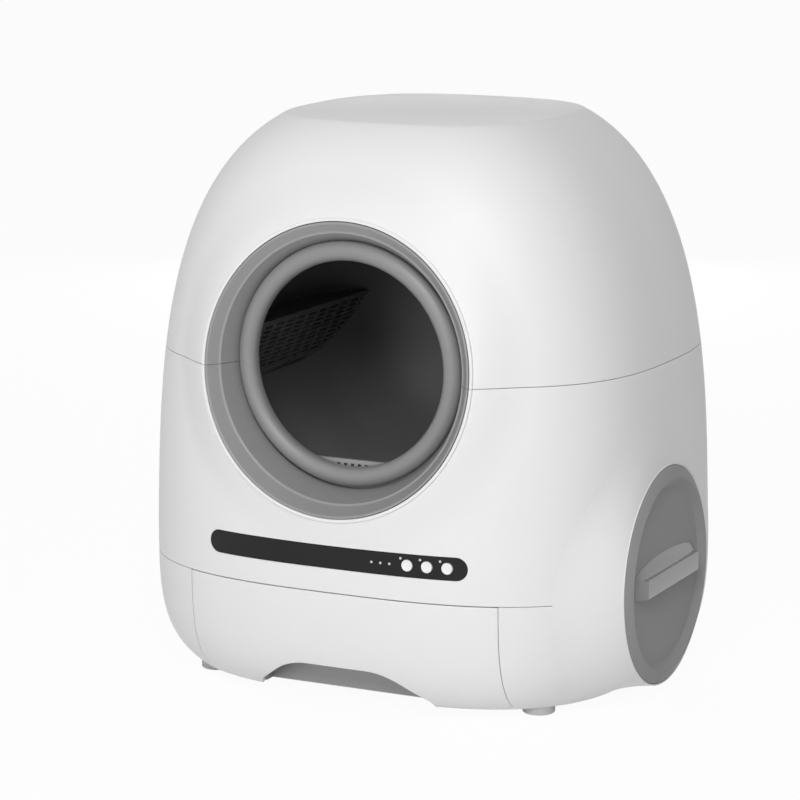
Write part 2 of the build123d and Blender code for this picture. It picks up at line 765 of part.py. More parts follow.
def make_roller_brackets():
    brackets = []
    inside = ROLLER_WIDTH / 2 + 2 * FIT_GAP
    for side in (-1, 1):
        x, z = roller_centre(side)
        half = EAR_WIDTH / 2
        foot = deck_top()
        bracket = block(
            x - half, x + half, roller_y() - inside - EAR_THICK, roller_y() + inside + EAR_THICK,
            foot, z - ROLLER_R - EAR_THICK,
        )
        for end in (-1, 1):
            y = roller_y() + end * (inside + EAR_THICK / 2)
            bracket += block(x - half, x + half, y - EAR_THICK / 2, y + EAR_THICK / 2, foot, z)
            bracket += rod_y(2 * ROLLER_AXLE_R, y - EAR_THICK / 2, y + EAR_THICK / 2, x, z)
        brackets.append(bracket - rod_y(ROLLER_AXLE_R, -BIG, BIG, x, z))
    return brackets


# Deck between drum and drawer, and the waste chute in it
def make_drum_deck():
    face = Face(plan_wire(DRAWER_TOP_Z, DECK_INSET))
    deck = extrude(face, amount=DECK_THICK, dir=(0, 0, 1))
    deck -= block(-CHUTE_X / 2, CHUTE_X / 2, -CHUTE_Y / 2, CHUTE_Y / 2, 0, HEIGHT)
    deck -= port_hole
    for x, y in deck_screw_places():
        deck -= rod_z(DECK_SCREW_R + FIT_GAP, 0, HEIGHT, x, y)
    for x, y in main_board_posts():
        deck += rod_z(STANDOFF_R, deck_top(), deck_top() + STANDOFF, x, y)
    return deck


def make_deck_screws():
    head = 2 * DECK_SCREW_R
    return [
        rod_z(head, deck_top(), deck_top() + DECK_SCREW_R, x, y)
        + rod_z(DECK_SCREW_R, DRAWER_TOP_Z - LEDGE_THICK, deck_top() + DECK_SCREW_R, x, y)
        for x, y in deck_screw_places()
    ]


def make_waste_chute():
    half_x, half_y = CHUTE_X / 2 - FIT_GAP, CHUTE_Y / 2 - FIT_GAP
    top = deck_top()
    chute = block(-half_x, half_x, -half_y, half_y, DRAWER_TOP_Z, top + CHUTE_RISE)
    rim_x, rim_y = half_x + CHUTE_FLANGE, half_y + CHUTE_FLANGE
    chute += block(-rim_x, rim_x, -rim_y, rim_y, top, top + CHUTE_WALL)
    open_x, open_y = half_x - CHUTE_WALL, half_y - CHUTE_WALL
    return chute - block(-open_x, open_x, -open_y, open_y, 0, HEIGHT)


# Waste drawer
def make_drawer_front():
    top = DRAWER_TOP_Z - SEAM
    skin = outer & block(-DRAWER_HALF, DRAWER_HALF, -BIG, BIN_FRONT_Y, 0, top)
    hole = DRAWER_HALF - CHEEK
    skin -= inner & block(-hole, hole, -BIG, BIG, 0, top - CHEEK)
    outline = Polyline(
        (-NOTCH_BOTTOM_HALF, 0), (-NOTCH_BOTTOM_HALF, NOTCH_FOOT_Z), (-NOTCH_TOP_HALF, NOTCH_TOP_Z),
        (NOTCH_TOP_HALF, NOTCH_TOP_Z), (NOTCH_BOTTOM_HALF, NOTCH_FOOT_Z), (NOTCH_BOTTOM_HALF, 0), close=True,
    )
    notch = make_face(outline)
    notch = fillet(notch.vertices().sort_by(Axis.Y)[-2:], NOTCH_CORNER)
    return skin - extrude(Plane.XZ * notch, amount=BIG)


def make_drawer_grip():
    """Finger pocket behind the notch."""
    half = NOTCH_BOTTOM_HALF + GRIP_WALL
    low, back = BASE_CLEAR + FLOOR, BIN_FRONT_Y
    pocket = block(-half, half, -BIG, back, low, GRIP_HEIGHT)
    room = block(-half + GRIP_WALL, half - GRIP_WALL, -BIG, back - GRIP_WALL, 0, GRIP_HEIGHT - GRIP_WALL)
    return (pocket - room) & body(WALL + FIT_GAP, BASE_CLEAR + FLOOR, HEIGHT - WALL)


def make_waste_bin():
    shell = block(-BIN_HALF, BIN_HALF, BIN_FRONT_Y, BIN_REAR_Y, BIN_FLOOR_Z, BIN_RIM_Z)
    shell += block(
        -BIN_HALF - BIN_FLANGE, BIN_HALF + BIN_FLANGE, BIN_FRONT_Y, BIN_FRONT_Y + BIN_WALL, BIN_FLOOR_Z, BIN_RIM_Z
    )
    return shell - block(
        -BIN_HALF + BIN_WALL, BIN_HALF - BIN_WALL, BIN_FRONT_Y + BIN_WALL, BIN_REAR_Y - BIN_WALL,
        BIN_FLOOR_Z + BIN_WALL, HEIGHT,
    )


def make_bag_frame():
    top = BIN_RIM_Z + BAG_FRAME_THICK
    ring = block(-BIN_HALF, BIN_HALF, BIN_FRONT_Y, BIN_REAR_Y, BIN_RIM_Z, top)
    w = BAG_FRAME_WIDTH
    return ring - block(-BIN_HALF + w, BIN_HALF - w, BIN_FRONT_Y + w, BIN_REAR_Y - w, 0, HEIGHT)


def make_drawer_runners():
    low = BASE_CLEAR + FLOOR
    start, end = BIN_FRONT_Y + RUNNER_WIDTH, BIN_REAR_Y
    runners = []
    for side in (-1, 1):
        out = BIN_HALF + RUNNER_GAP + RUNNER_WALL
        inn = out - RUNNER_WIDTH
        lip = block(min(side * inn, side * out), max(side * inn, side * out), start, end, low, BIN_FLOOR_Z - FIT_GAP)
        wall_in = out - RUNNER_WALL
        lip += block(
            min(side * wall_in, side * out), max(side * wall_in, side * out), start, end, low, low + RUNNER_HEIGHT
        )
        runners.append(lip)
    return runners


# Side filter port, its cap, the filter and the fan
def make_port_flare():
    """Concave fairing from the port's wall to the housing, which it stops just short of."""
    tip = radians(PORT_FLARE_START)
    middle_x = port_lip_x - PORT_FLARE_DROP + PORT_FLARE_R * sin(tip)
    middle_r = port_r + PORT_FLARE_R * cos(tip)

    def along(turn):
        a = radians(turn)
        return middle_x - PORT_FLARE_R * sin(a), CAP_Y + middle_r - PORT_FLARE_R * cos(a), CAP_Z

    start, end = along(PORT_FLARE_START / 2), along(PORT_FLARE_END)
    sweep = ThreePointArc(start, along((PORT_FLARE_START + PORT_FLARE_END) / 2), end)
    root = [(FILTER_X, end[1], CAP_Z), (FILTER_X, start[1], CAP_Z)]
    face = make_face(Curve() + [sweep, Polyline(end, *root, start)])
    flare = revolve(face, Axis(CAP_AXIS_POINT, (1, 0, 0)))
    return (flare & slab(BASE_CLEAR, HEIGHT)) - body(-PORT_FLARE_GAP, BASE_CLEAR - FLOOR, HEIGHT)


def make_filter_port():
    mouth = CAP_FACE_X - CAP_PLATE
    port = turned_x([
        (PORT_INNER_X, FAN_R), (PORT_INNER_X, port_r), (port_lip_x, port_r),
        (port_lip_x, CAP_R + FIT_GAP), (mouth - FIT_GAP, CAP_R + FIT_GAP), (mouth - FIT_GAP, PORT_BORE_R),
        (PORT_INNER_X + PORT_END_WALL, PORT_BORE_R), (PORT_INNER_X + PORT_END_WALL, FAN_R),
    ])
    return port + make_port_flare()


def make_filter_cap():
    back, floor_x = CAP_FACE_X - CAP_PLATE, CAP_FACE_X - CAP_DISH
    rim = CAP_R - CAP_RIM_WIDTH
    spigot_end = back - SPIGOT_LENGTH
    groove = back - SPIGOT_LENGTH / 2
    half = SEAL_SIZE / 2
    return turned_x([
        (back, 0), (floor_x, 0), (floor_x, rim - CAP_DISH_DRAFT), (CAP_FACE_X, rim),
        (port_lip_x, CAP_R), (back, CAP_R), (back, SPIGOT_R),
        (groove + half, SPIGOT_R), (groove + half, SPIGOT_R - half), (groove - half, SPIGOT_R - half),
        (groove - half, SPIGOT_R), (spigot_end, SPIGOT_R), (spigot_end, SPIGOT_R - SPIGOT_WALL - half),
        (back, SPIGOT_R - SPIGOT_WALL - half),
    ])


def make_cap_seal():
    groove = CAP_FACE_X - CAP_PLATE - SPIGOT_LENGTH / 2
    half = SEAL_SIZE / 2
    return turned_x([
        (groove - half, SPIGOT_R - half), (groove + half, SPIGOT_R - half),
        (groove + half, PORT_BORE_R - FIT_GAP), (groove - half, PORT_BORE_R - FIT_GAP),
    ])


def make_cap_grip():
    foot, crest = CAP_FACE_X - CAP_DISH, CAP_FACE_X + GRIP_PROUD
    plane = Plane((foot, CAP_Y, CAP_Z), x_dir=(0, 1, 0), z_dir=(1, 0, 0))
    low = plane * Pos(0, (GRIP_BASE - GRIP_CREST) / 2) * Rectangle(GRIP_LENGTH, GRIP_BASE)
    high = plane.offset(crest - foot) * Rectangle(GRIP_CREST_LENGTH, GRIP_CREST)
    bar = loft([low.face(), high.face()])
    crest_edges = bar.faces().sort_by(Axis.X)[-1].edges()
    return fillet(crest_edges, GRIP_EDGE)


def make_carbon_filter():
    return rod_x(PORT_BORE_R - 2 * FIT_GAP, FILTER_X, FILTER_X + FILTER_THICK, CAP_Y, CAP_Z)


def make_fan_frame():
    x0 = PORT_INNER_X + PORT_END_WALL
    half = FAN_SIZE / 2
    frame = block(x0, x0 + FAN_DEPTH, CAP_Y - half, CAP_Y + half, CAP_Z - half, CAP_Z + half)
    frame -= rod_x(FAN_R, x0 - 1, x0 + FAN_DEPTH + 1, CAP_Y, CAP_Z)
    strut = FAN_PIN_R
    frame += block(x0, x0 + strut, CAP_Y - half, CAP_Y + half, CAP_Z - strut, CAP_Z + strut)
    frame += block(x0, x0 + strut, CAP_Y - strut, CAP_Y + strut, CAP_Z - half, CAP_Z + half)
    frame += rod_x(FAN_HUB_R, x0, x0 + strut, CAP_Y, CAP_Z)
    return frame + rod_x(FAN_PIN_R, x0, x0 + FAN_DEPTH - 2 * strut, CAP_Y, CAP_Z)


def make_fan_rotor():
    x0 = PORT_INNER_X + PORT_END_WALL + FAN_PIN_R + FIT_GAP
    x1 = PORT_INNER_X + PORT_END_WALL + FAN_DEPTH - FAN_PIN_R
    rotor = rod_x(FAN_HUB_R, x0, x1, CAP_Y, CAP_Z)
    reach = FAN_R - FAN_TIP_GAP - FAN_HUB_R
    blade = Box(x1 - x0, BLADE_THICK, reach + BLADE_THICK)
    blade = Pos(0, 0, FAN_HUB_R + (reach - BLADE_THICK) / 2) * Rot(0, 0, BLADE_PITCH) * blade
    for i in range(FAN_BLADES):
        rotor += Pos((x0 + x1) / 2, CAP_Y, CAP_Z) * Rot(360 * i / FAN_BLADES, 0, 0) * blade
    return rotor - rod_x(FAN_PIN_R + RUNNING_GAP, x0 - 1, x1 - FAN_PIN_R / 2, CAP_Y, CAP_Z)


# Feet, weight sensors, boards and power inlet
def corners():
    return [(sx * FOOT_X, sy * FOOT_Y) for sx in (-1, 1) for sy in (-1, 1)]


def make_feet():
    feet = []
    for x, y in corners():
        foot = rod_z(FOOT_R, 0, BASE_CLEAR, x, y)
        feet.append(fillet(foot.faces().sort_by(Axis.Z)[0].edges(), BASE_CLEAR / 5))
    return feet


def make_load_cells():
    low = BASE_CLEAR + FLOOR
    return [
        block(x - CELL_LENGTH / 2, x + CELL_LENGTH / 2, y - CELL_WIDTH / 2, y + CELL_WIDTH / 2, low, low + CELL_HEIGHT)
        for x, y in corners()
    ]


def main_board_posts():
    x0, y0 = MAIN_BOARD_AT
    dx, dy = MAIN_BOARD[0] / 2 - 2 * STANDOFF_R, MAIN_BOARD[1] / 2 - 2 * STANDOFF_R
    return [(x0 + sx * dx, y0 + sy * dy) for sx in (-1, 1) for sy in (-1, 1)]


def make_main_board():
    x0, y0 = MAIN_BOARD_AT
    low = deck_top() + STANDOFF
    board = Pos(x0, y0, low + BOARD_THICK / 2) * Box(*MAIN_BOARD, BOARD_THICK)
    chip = Pos(x0, y0, low + 2 * BOARD_THICK) * Box(MAIN_BOARD[0] / 4, MAIN_BOARD[1] / 3, 2 * BOARD_THICK)
    return board + chip


def make_power_inlet():
    wall_in = back_y(INLET_X, INLET_Z, WALL)
    face = wall_in + WALL - SEAM
    barrel = rod_y(INLET_R, face - INLET_LENGTH, face, INLET_X, INLET_Z)
    nut_face = back_y(INLET_X + INLET_NUT_R, INLET_Z - INLET_NUT_R, WALL) - 2 * FIT_GAP
    barrel += rod_y(INLET_NUT_R, nut_face - INLET_NUT_THICK, nut_face, INLET_X, INLET_Z)
    barrel -= rod_y(INLET_BORE_R, face - INLET_R, face + 1, INLET_X, INLET_Z)
    return barrel + rod_y(INLET_PIN_R, face - INLET_R - 1, face - 1, INLET_X, INLET_Z)


bezel = make_bezel()
buttons = ("button_left", "button_middle", "button_right")

save("base_tray", make_base_tray())
save("lower_shell", make_lower_shell())
save("upper_cover", make_upper_cover())
save("upper_bezel", bezel & slab(COVER_SPLIT_Z + SEAM / 2, HEIGHT))
save("lower_bezel", bezel & slab(0, COVER_SPLIT_Z - SEAM / 2))
save("control_lens", make_control_lens())
save("status_lamps", Compound(children=make_status_lamps()))
for name, button_x in zip(buttons, button_places()):
    save(name, make_button(button_x))
save("control_board", make_control_board())
save("button_switches", Compound(children=make_button_switches()))
save("drum_front", make_drum_front())
save("drum_rear", make_drum_rear())
save("mouth_ring", make_mouth_ring())
save("drum_screws", Compound(children=make_drum_screws()))
save("sieve_screen", make_sieve_screen())
save("sill_grate", make_sill_grate())
save("ring_gear", make_ring_gear())
save("drum_axle", make_drum_axle())
save("drive_pinion", make_drive_pinion())
save("rear_frame", make_rear_frame())
save("axle_bush", make_axle_bush())
save("gear_motor", make_gear_motor())
save("motor_screws", Compound(children=make_motor_screws()))
save("roller_left", make_roller(-1))
save("roller_right", make_roller(1))
save("roller_axles", Compound(children=make_roller_axles()))
save("roller_brackets", Compound(children=make_roller_brackets()))
save("drum_deck", make_drum_deck())
save("deck_screws", Compound(children=make_deck_screws()))
save("waste_chute", make_waste_chute())
save("drawer_front", make_drawer_front())
save("drawer_grip", make_drawer_grip())
save("waste_bin", make_waste_bin())
save("bag_frame", make_bag_frame())
save("drawer_runners", Compound(children=make_drawer_runners()))
save("filter_port", make_filter_port())
save("filter_cap", make_filter_cap())
save("cap_seal", make_cap_seal())
save("cap_grip", make_cap_grip())
save("carbon_filter", make_carbon_filter())
save("fan_frame", make_fan_frame())
save("fan_rotor", make_fan_rotor())
save("feet", Compound(children=make_feet()))
save("load_cells", Compound(children=make_load_cells()))
save("main_board", make_main_board())
save("power_inlet", make_power_inlet())
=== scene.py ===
"""Looks of the self-cleaning litter box: shells, entrance, drum, controls, drawer and side cap.

Metres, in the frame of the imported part: +Z up, the entrance faces -Y, the side cap is at +X.
"""
from math import atan2, cos, hypot, pi, radians, sin, tan

import bpy
from bpy.props import FloatProperty, FloatVectorProperty, PointerProperty
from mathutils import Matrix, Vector


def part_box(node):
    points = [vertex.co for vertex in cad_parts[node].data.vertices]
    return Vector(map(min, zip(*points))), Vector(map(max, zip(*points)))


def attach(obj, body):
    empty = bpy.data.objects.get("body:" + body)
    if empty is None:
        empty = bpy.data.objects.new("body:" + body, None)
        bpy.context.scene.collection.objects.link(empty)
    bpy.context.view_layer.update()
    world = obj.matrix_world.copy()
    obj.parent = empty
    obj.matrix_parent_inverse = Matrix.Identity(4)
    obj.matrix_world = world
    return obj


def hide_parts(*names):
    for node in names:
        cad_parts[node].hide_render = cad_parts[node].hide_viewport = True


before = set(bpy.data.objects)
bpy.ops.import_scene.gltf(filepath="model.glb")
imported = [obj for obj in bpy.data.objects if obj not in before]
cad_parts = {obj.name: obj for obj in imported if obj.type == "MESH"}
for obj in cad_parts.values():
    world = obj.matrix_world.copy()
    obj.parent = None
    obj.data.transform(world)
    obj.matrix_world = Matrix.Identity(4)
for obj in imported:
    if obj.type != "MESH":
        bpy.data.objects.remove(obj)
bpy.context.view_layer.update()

bl_info = {
    "name": "Litter Box Looks",
    "version": (1, 0, 0),
    "blender": (4, 5, 0),
    "location": "View3D > Sidebar > Litter Box",
    "description": "Models the visible pieces and finishes of a self-cleaning litter box",
    "category": "Object",
}

MM = 0.001
TURN = 2 * pi
COVER_LOW, COVER_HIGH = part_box("upper_cover")
SHELL_LOW, SHELL_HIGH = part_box("lower_shell")
BASE_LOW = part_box("base_tray")[0]
LENS_LOW, LENS_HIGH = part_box("control_lens")
DRAWER_LOW, DRAWER_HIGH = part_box("drawer_front")
RING_LOW, RING_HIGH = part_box("mouth_ring")
CAP_LOW, CAP_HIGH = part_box("filter_cap")
GRIP_LOW, GRIP_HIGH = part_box("cap_grip")
PORT_LOW, PORT_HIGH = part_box("filter_port")
FRONT_LOW, FRONT_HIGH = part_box("drum_front")
REAR_LOW, REAR_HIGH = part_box("drum_rear")

KEY_RADIUS = 6 * MM
KEY_FLANGE = 1.2 * MM
KEY_GAP = 0.7 * MM
# Room round the strip and the port in the lower shell
CUT_GAP = 0.3 * MM
# How far the cutters reach, along Y at the front and along X at the side
BORE_REACH = 60 * MM
FRONT_SPAN = (-0.30, -0.15)
SIDE_SPAN = (0.15, 0.35)
# Depths of the collar over which its lean fades
COLLAR_FADE = 10
# Part of an edge that one rounded corner may take up
CORNER_SHARE = 0.45
RAMP_STEPS = 8
NEAR = 1e-5

GRAIN_DEPTH = 0.1 * MM
MOTTLE_SCALE = 14
LINE_SCALE = 900
LINE_STRETCH = 0.04
LINE_STRENGTH = 0.08
LINE_GLOSS_SPREAD = 0.1
CELL_DEPTH = 0.3 * MM
CELL_STRENGTH = 0.5
FLOOR_ROUGH = 0.9
WHITE = (1, 1, 1, 1)

CAMERA_PLACE = (1.45624, -3.04776, 0.96059)
CAMERA_AIM = (-0.0425, 0.0, 0.2806)
LIGHT_AIM = (0, 0, 0.3)
# Setting, size and place of each light
LIGHTS = (
    ("key", 1.5, (1.0, -2.8, 2.3)),
    ("fill", 0.9, (-0.2, -3.3, 0.75)),
    ("top", 2.0, (0.3, 0.4, 3.0)),
    ("back", 0.6, (-1.2, 2.6, 0.36)),
)


def length(name, description, default):
    """Property for one size in metres."""
    return FloatProperty(name=name, description=description, default=default, unit="LENGTH", precision=4)


def number(name, description, default):
    """Property for one plain number."""
    return FloatProperty(name=name, description=description, default=default)


def degrees(name, description, default):
    """Property for one angle, given in degrees."""
    return FloatProperty(name=name, description=description, default=radians(default), subtype="ANGLE")


def watts(name, description, default):
    """Property for the power of one light."""
    return FloatProperty(name=name, description=description, default=default, unit="POWER")


def colour(name, description, default):
    """Property for one colour."""
    return FloatVectorProperty(
        name=name, description=description, default=default, subtype="COLOR", size=3, min=0, max=1
    )


class HousingSizes(bpy.types.PropertyGroup):
    """Outline of the domed housing."""

    height: length("Height", "Flat top above the floor", COVER_HIGH.z)
    clear: length("Clearance", "Underside above the floor", BASE_LOW.z)
    half_width: length("Half width", "Half of the width at the belly", 0.285)
    front_depth: length("Front depth", "Belly's front from the middle", 0.247)
    back_depth: length("Back depth", "Belly's back from the middle", 0.251)
    belly: length("Belly height", "Height of the widest section", 0.160)
    taper: number("Taper", "Draw-in of the sides above the belly", 0.02)
    side_power: number("Side power", "Roundness of the side profile", 2.9)
    side_overrun: length("Side overrun", "Side profile cut off by the flat top", 0.026)
    end_power: number("End power", "Roundness of the front and back profile", 3.8)
    end_overrun: length("End overrun", "Front profile cut off by the flat top", 0.021)
    tuck_power: number("Tuck power", "Roundness of the tucked-in base", 4.0)
    tuck_overrun: length("Tuck overrun", "Base profile cut off by the underside", 0.034)
    plan_front: number("Front plan power", "Squareness of the front half in plan", 2.9)
    plan_back: number("Back plan power", "Squareness of the rear half in plan", 2.75)
    seam_rise: length("Seam rise", "Seam of cover and shell over the frame's", 0.004)
    wall: length("Wall", "Thickness of the shells", 0.0035)
    edge: length("Edge radius", "Rounding of the shells' parting edges", 0.0007)
    top_edge: length("Top edge radius", "Rounding between dome and flat top", 0.0016)


class EntranceSizes(bpy.types.PropertyGroup):
    """Funnel and collar round the entrance."""

    radius: length("Radius", "Outside of the grey funnel", 0.150)
    middle: length("Height", "Funnel's centre above the floor", 0.357)
    face: length("Face", "Funnel's front edge along Y", -0.238)
    lean: degrees("Lean", "Lean of the front edge", 6.3)
    rim: length("Rim", "Width of the funnel's front edge", 0.0025)
    step_radius: length("Step radius", "Funnel's radius at its step", 0.1395)
    step_depth: length("Step depth", "Step behind the front edge", 0.011)
    step: length("Step", "Height of the step", 0.002)
    soft: length("Soft edge", "Rounding of the funnel's edges", 0.0022)
    lip: length("Lip radius", "Half-round section of the mouth ring", 0.010)
    back_gap: length("Groove", "Gap between funnel and mouth ring", 0.0014)
    overlap: length("Overlap", "Reach of the funnel past the mouth ring's groove", 0.003)
    collar: length("Collar", "Width of the white lip round the funnel", 0.0036)
    collar_depth: length("Collar depth", "Reach of the lip into the shell", 0.030)
    collar_gap: length("Collar gap", "Gap between lip and funnel", 0.0004)
    collar_edge: length("Collar edge", "Rounding of the lip", 0.0013)
    lip_step: length("Lip step", "Height of the lip over the shell round it", 0.0022)
    swell: length("Swell", "Width over which the shell rises to the lip", 0.046)


class DrumSizes(bpy.types.PropertyGroup):
    """Turning drum."""

    radius: length("Radius", "Outside of the belly", 0.185)
    wall: length("Wall", "Thickness of the drum", 0.003)
    track: length("Track radius", "Outside of the front roller track", 0.150)
    track_length: length("Track length", "Length of the front roller track", 0.042)
    shoulder: length("Front shoulder", "Length of the front shoulder", 0.058)
    bulge: number("Shoulder bulge", "Roundness of the front shoulder", 0.2)
    dome_power: number("Dome power", "Squareness of the domed rear", 3.0)
    mouth: length("Mouth radius", "Hole behind the mouth ring", 0.110)
    axle: length("Axle radius", "Hole for the axle", 0.010)
    flange: length("Flange", "Height of the joining flanges", 0.008)
    flange_thick: length("Flange thickness", "Thickness of one joining flange", 0.004)
    port_start: length("Port start", "Waste port behind the split", 0.012)
    port_length: length("Port length", "Waste port along the drum", 0.110)
    port_width: length("Port width", "Waste port round the drum", 0.120)
    port_angle: degrees("Port angle", "Place of the port round the drum", 125)


class DrawerSizes(bpy.types.PropertyGroup):
    """Waste drawer's front."""

    wall: length("Wall", "Thickness of the front", 0.0035)
    edge: length("Edge radius", "Rounding of the front's edges", 0.0009)
    notch_half: length("Notch half width", "Half of the grip notch at its foot", 0.101)
    notch_top_half: length("Notch top half width", "Half of the grip notch at its top", 0.055)
    notch_knee: length("Notch knee", "Height where the notch starts to narrow", 0.014)
    notch_top: length("Notch top", "Height of the grip notch", 0.046)
    notch_corner: length("Notch corner", "Rounding of the notch's corners", 0.070)


class CapSizes(bpy.types.PropertyGroup):
    """Side cap and its grip bar."""

    rim_width: length("Rim width", "Width of the sloping rim", 0.013)
    rim_rise: length("Rim rise", "Height of the sloping rim", 0.006)
    dish: length("Dish", "Depth of the dish behind the rim", 0.008)
    draft: length("Draft", "Slope of the dish's wall", 0.008)
    plate: length("Plate", "Cap's back behind its rim", 0.011)
    spigot: length("Spigot radius", "Outside of the spigot in the port", 0.108)
    spigot_wall: length("Spigot wall", "Wall of the spigot", 0.003)
    crest: length("Crest", "Height of the grip bar's crest", 0.020)
    crest_length: length("Crest length", "Length of the grip bar's crest", 0.141)
    ramp_fall: number("Ramp fall", "How fast the grip bar's back falls", 0.6)
    ramp_rise: number("Ramp rise", "How late the grip bar's back rises", 1.6)
    rim_edge: length("Rim edge", "Rounding of the rim's edges", 0.003)
    grip_edge: length("Grip edge", "Rounding of the grip bar", 0.0012)


class PortSizes(bpy.types.PropertyGroup):
    """White port round the side cap."""

    reach: length("Reach", "Width of the skirt that eases the port into the housing", 0.046)
    ease: number("Ease", "How late the skirt rises to the lip", 2.0)
    wall: length("Wall", "Wall of neck and skirt", 0.0016)
    edge: length("Edge radius", "Rounding of the lip", 0.0008)
    film: length("Film", "Height of the skirt's thin edge", 0.0002)
    foot: length("Foot", "Skirt's lowest point above the underside", 0.001)


class ButtonSizes(bpy.types.PropertyGroup):
    """Round keys in the control strip."""

    dish: length("Dish", "Depth of the finger dish", 0.0005)
    dish_radius: length("Dish radius", "Flat of the finger dish", 0.0033)
    edge: length("Edge radius", "Rounding of a key's edge", 0.0008)


class Finishes(bpy.types.PropertyGroup):
    """Colours of the materials."""

    shell: colour("Shell", "White outer plastic", (0.80, 0.80, 0.80))
    inside: colour("Inside", "White inner plastic", (0.66, 0.66, 0.66))
    funnel: colour("Funnel", "Grey entrance plastic", (0.285, 0.285, 0.285))
    ring: colour("Ring", "Grey mouth ring plastic", (0.245, 0.245, 0.245))
    cap: colour("Cap", "Grey side cap plastic", (0.33, 0.33, 0.33))
    grip: colour("Grip", "Grey grip bar plastic", (0.235, 0.235, 0.235))
    # Lighter than the drum's own charcoal plastic: painted light that stands in for light reaching the dim
    # inside of the drum.
    drum: colour("Drum", "Charcoal drum plastic", (0.16, 0.16, 0.16))
    lens: colour("Lens", "Smoked black plastic", (0.014, 0.014, 0.014))
    key: colour("Key", "White button plastic", (0.86, 0.86, 0.86))
    floor: colour("Floor", "Pale studio floor", (0.90, 0.90, 0.90))


class StageSettings(bpy.types.PropertyGroup):
    """Camera and lights."""

    lens: FloatProperty(name="Lens", description="Focal length", default=143.27, unit="CAMERA")
    key: watts("Key light", "Power of the key light", 60)
    fill: watts("Fill light", "Power of the fill light", 17)
    top: watts("Top light", "Power of the overhead light", 4)
    back: watts("Back light", "Power of the light behind", 16)
    world: number("World", "Strength of the all-round light", 0.28)
    glow: number("Floor glow", "Share of the floor that is seen as plain white", 0.95)


PROPERTY_GROUPS = {
    "litterbox_housing": HousingSizes,
    "litterbox_entrance": EntranceSizes,
    "litterbox_drum": DrumSizes,
    "litterbox_drawer": DrawerSizes,
    "litterbox_cap": CapSizes,
    "litterbox_port": PortSizes,
    "litterbox_buttons": ButtonSizes,
    "litterbox_finishes": Finishes,
    "litterbox_stage": StageSettings,
}


def housing():
    return bpy.context.scene.litterbox_housing


def entrance():
    return bpy.context.scene.litterbox_entrance


def drum():
    return bpy.context.scene.litterbox_drum


def finishes():
    return bpy.context.scene.litterbox_finishes


# Outline of the housing


def rise(z, overrun, power):
    """Share of the belly's size left at height z along one side of the outline."""
    s = housing()
    if z >= s.belly:
        reach = (z - s.belly) / (s.height - s.belly + overrun)
        return (1 - reach**power) ** (1 / power)
    reach = (s.belly - z) / (s.belly - s.clear + s.tuck_overrun)
    return (1 - reach**s.tuck_power) ** (1 / s.tuck_power)


def half_sizes(z):
    """Half width, front depth and back depth of the housing at height z."""
    s = housing()
    taper = s.taper * max(z - s.belly, 0)
    half = (s.half_width - taper) * rise(z, s.side_overrun, s.side_power)
    ends = rise(z, s.end_overrun, s.end_power)
    return half, (s.front_depth - taper) * ends, (s.back_depth - taper) * ends


def plan_point(z, angle):
    """Point of the rounded plan outline at height z; angle -90 degrees is the front."""
    s = housing()
    half, front, back = half_sizes(z)
    power, depth = (s.plan_front, front) if sin(angle) < 0 else (s.plan_back, back)
    reach = ((abs(cos(angle)) / half) ** power + (abs(sin(angle)) / depth) ** power) ** (-1 / power)
    return Vector((reach * cos(angle), reach * sin(angle), z))


def front_y(x, z):
    """The housing's front surface at a given width and height."""
    half, front, _ = half_sizes(z)
    power = housing().plan_front
    return -front * (1 - (abs(x) / half) ** power) ** (1 / power)


def side_x(y, z):
    """The housing's right side at a given depth and height."""
    s = housing()
    half, front, back = half_sizes(z)
    power, depth = (s.plan_front, front) if y < 0 else (s.plan_back, back)
    return half * max(1 - (abs(y) / depth) ** power, 0) ** (1 / power)


def seam():
    """Top of the lower shell and foot of the cover."""
    shift = housing().seam_rise
    return SHELL_HIGH.z + shift, COVER_LOW.z + shift


def round_top(point):
    """Draw a point in where the dome rounds over into the flat top."""
    s = housing()
    over = (point.z - s.height) / s.top_edge + 1
    if over > 0:
        inset = s.top_edge * (1 - max(1 - over**2, 0) ** 0.5)
        share = 1 - inset / hypot(point.x, point.y)
        point.x *= share
        point.y *= share
    return point


def swell(point):
    """Draw a point of the front out to the entrance's lip, easing into the shell around it."""
    e = entrance()
    if point.y > 0:
        return point
    reach = hypot(point.x, point.z - e.middle) - e.radius - e.collar
    share = min(max(1 - reach / e.swell, 0), 1) ** 2
    lip = e.face + e.lip_step + tan(e.lean) * (point.z - e.middle)
    point.y += (lip - point.y) * share
    return point


# Modelling steps


def deselect():
    """Leave edit mode with nothing selected."""
    if bpy.context.mode != "OBJECT":
        bpy.ops.object.mode_set(mode="OBJECT")
    bpy.ops.object.select_all(action="DESELECT")


def pick(piece):
    """Make a piece the only selected and active object."""
    deselect()
    piece.select_set(True)
    bpy.context.view_layer.objects.active = piece
    return piece


def named(name):
    """Name the object that was just added."""
    piece = bpy.context.object
    piece.name = name
    piece.data.name = name
    return piece


def settle(piece):
    """Put the piece's place into its mesh."""
    pick(piece)
    bpy.ops.object.transform_apply(location=True, rotation=True, scale=True)
    return piece


def tidy_faces(piece, merge=1e-6):
    """Merge doubled points and turn the faces outwards."""
    pick(piece)
    bpy.ops.object.mode_set(mode="EDIT")
    bpy.ops.mesh.select_all(action="SELECT")
    bpy.ops.mesh.remove_doubles(threshold=merge)
    bpy.ops.mesh.normals_make_consistent(inside=False)
    bpy.ops.object.mode_set(mode="OBJECT")
    return piece


def smooth(piece, angle=30):
    """Smooth shading that keeps edges sharper than an angle in degrees."""
    pick(piece)
    bpy.ops.object.shade_smooth_by_angle(angle=radians(angle))
    return piece


